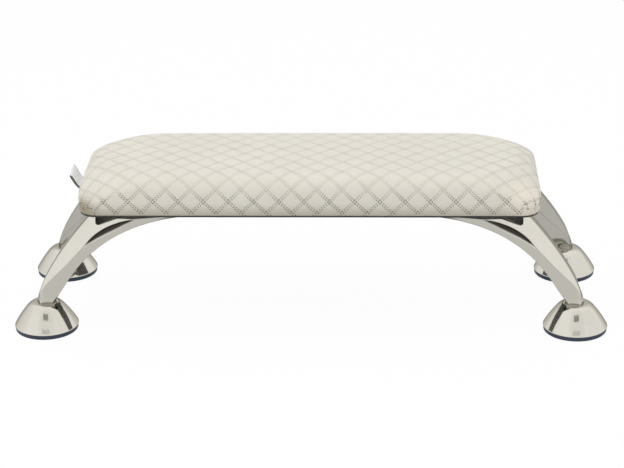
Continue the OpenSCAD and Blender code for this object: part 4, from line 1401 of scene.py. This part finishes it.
def makeUnderside():
    makeLining()
    tree = makeFastenerTree("fasteners set in rows")
    staple, screw = stapleForm(), screwForm()
    level = pad["underside"] - staples["wire"]
    staplePoints = [(x, y, level, turn) for x, y, turn in staplePlaces()]
    setFasteners("lining_staple_row", staplePoints, staple, tree, 0.05, ["lining_staples"])
    edge = screws["headRadius"] * 2.4
    x0, x1, y0, y1, thick = legs["plate"]
    rows = (y0 + edge, legs["topY"] - legs["ridgeHalf"] - screws["headRadius"] - 0.0003)
    screwPoints = [(sx * x, sy * y, pad["underside"] - thick, 0.0) for sx, sy in corners.values()
                   for x in (x0 + edge, x1 - edge) for y in rows]
    nodes = [corner + "_plate_screws" for corner in corners]
    setFasteners("plate_screw_set", screwPoints, screw, tree, 0.8, nodes)
    drop(staple, screw)


makeUnderside()
print("underside made")


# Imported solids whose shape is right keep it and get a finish

def finishSolids():
    wanted = {"base_board": plywood}
    for corner in corners:
        wanted.update({corner + "_mounting_plate": blackPaint, corner + "_foot_bolt": zincSteel,
                       corner + "_foot_washer": zincSteel})
    for name, material in wanted.items():
        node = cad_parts[name]
        node.data.materials.clear()
        node.data.materials.append(material)
        node.data.polygons.foreach_set("material_index", [0] * len(node.data.polygons))


finishSolids()
print("solids finished")


# Floor, light and camera

studio = {
    "cameraPlace": (0.0621, -1.5217, 0.6706), "yaw": -2.322, "pitch": 22.0, "roll": -0.8,
    "lens": 2100 / 624 * 36, "sensor": 36,    # a focal length of 2100 pixels over a picture 624 wide
    "floorColour": (0.96, 0.96, 0.955, 1), "floorGlow": 0.965, "worldDiffuse": 0.60,
    "darkSides": (       # towards, from and to how directly it is faced, and how dark
        ((0.1, -0.66, 0.75), 0.80, 0.97, 0.12), ((0.86, -0.2, 0.47), 0.80, 0.96, 0.07),
        ((-0.92, 0.25, 0.3), 0.88, 0.97, 0.10), ((0.0, 1.0, 0.15), 0.50, 0.90, 0.30),
    ),
    "cards": (           # dark cards in front: middle in X and Z, half sizes, and how dark
        (0.03, 0.775, 0.20, 0.038, 0.80), (0.03, 0.585, 0.24, 0.032, 0.42),
    ),
    "darkTone": (0.16, 0.155, 0.14, 1),
    "lamps": (           # name, place, size, watts
        ("overhead lamp", (-0.08, 0.05, 1.35), (1.6, 1.1), 8.0),
        ("front lamp", (0.15, -1.7, 1.15), (1.5, 0.7), 2.5),
        ("left lamp", (-1.4, -0.5, 0.7), (0.7, 0.9), 1.2),
    ),
    "aim": (0, 0, 0.08),
}


def seenDirectly(tree):  # 1 for rays that show a surface, 0 for those that only light another
    path = tree.nodes.new("ShaderNodeLightPath").outputs
    direct = maths(tree, "MAXIMUM", path["Is Camera Ray"], path["Is Glossy Ray"])
    return maths(tree, "MAXIMUM", direct, path["Is Transmission Ray"]), path["Is Glossy Ray"]


def makeFloor():
    material, tree, _ = newMaterial("pale floor", {
        "Base Color": studio["floorColour"], "Roughness": 0.9, "Specular IOR Level": 0.1})
    floor = newPiece("floor", [(-6, -6, 0), (6, -6, 0), (6, 6, 0), (-6, 6, 0)], [(0, 1, 2, 3)], material)
    share = maths(tree, "MULTIPLY", seenDirectly(tree)[0], studio["floorGlow"])
    glow = addNode(tree, "ShaderNodeEmission", {"Color": (1, 1, 1, 1), "Strength": 1.0}).outputs[0]
    lit = tree.nodes["Principled BSDF"].outputs[0]
    blend = addNode(tree, "ShaderNodeMixShader", {0: share, 1: lit, 2: glow}).outputs[0]
    tree.links.new(blend, tree.nodes["Material Output"].inputs["Surface"])


def makeWorld():
    world = bpy.data.worlds.new("pale studio")
    world.use_nodes = True
    scene.world = world
    tree = world.node_tree
    background = tree.nodes["Background"]
    seen, glossy = seenDirectly(tree)
    strength = spread(tree, seen, 0.0, 1.0, studio["worldDiffuse"], 1.0, False)
    tree.links.new(strength, background.inputs["Strength"])
    direction = addNode(tree, "ShaderNodeTexCoord").outputs["Generated"]
    shade = 0.0  # only the polished metal shows the darker sides and the cards
    for towards, low, high, depth in studio["darkSides"]:
        facing = addNode(tree, "ShaderNodeVectorMath", {0: direction, 1: Vector(towards).normalized()},
                         operation="DOT_PRODUCT").outputs["Value"]
        shade = maths(tree, "MAXIMUM", shade, spread(tree, facing, low, high, 0.0, depth))
    parts = split(tree, direction)
    front = spread(tree, parts[1], -0.35, -0.30, 1.0, 0.0)
    for middle, height, wide, high, depth in studio["cards"]:
        across = spread(tree, apart(tree, parts[0], middle), wide * 0.8, wide, 1.0, 0.0)
        up = spread(tree, apart(tree, parts[2], height), high * 0.7, high, depth, 0.0)
        card = maths(tree, "MULTIPLY", maths(tree, "MULTIPLY", across, up), front)
        shade = maths(tree, "MAXIMUM", shade, card)
    shade = maths(tree, "MULTIPLY", shade, glossy)
    tree.links.new(mixColour(tree, shade, (1, 1, 1, 1), studio["darkTone"]), background.inputs["Color"])


def makeLamps():
    for name, place, size, watts in studio["lamps"]:
        lamp = bpy.data.lights.new(name, "AREA")
        lamp.shape, lamp.size, lamp.size_y, lamp.energy = "RECTANGLE", size[0], size[1], watts
        holder = bpy.data.objects.new(name, lamp)
        holder.location = place
        holder.rotation_euler = (Vector(studio["aim"]) - Vector(place)).to_track_quat("-Z", "Y").to_euler()
        holder.visible_glossy = False  # it would burn out a spot on the bells
        scene.collection.objects.link(holder)


def makeCamera():
    camera = bpy.data.objects.new("camera", bpy.data.cameras.new("camera"))
    camera.data.lens, camera.data.sensor_width = studio["lens"], studio["sensor"]
    camera.data.clip_start, camera.data.clip_end = 0.05, 30
    pitch, yaw, roll = [math.radians(studio[key]) for key in ("pitch", "yaw", "roll")]
    ahead = Vector((math.sin(yaw) * math.cos(pitch), math.cos(yaw) * math.cos(pitch), -math.sin(pitch)))
    camera.location = studio["cameraPlace"]
    level = ahead.to_track_quat("-Z", "Y")
    camera.rotation_euler = (level @ Quaternion((0, 0, 1), roll)).to_euler()
    scene.collection.objects.link(camera)
    scene.camera = camera


makeFloor()
makeWorld()
makeLamps()
makeCamera()
print("studio made")
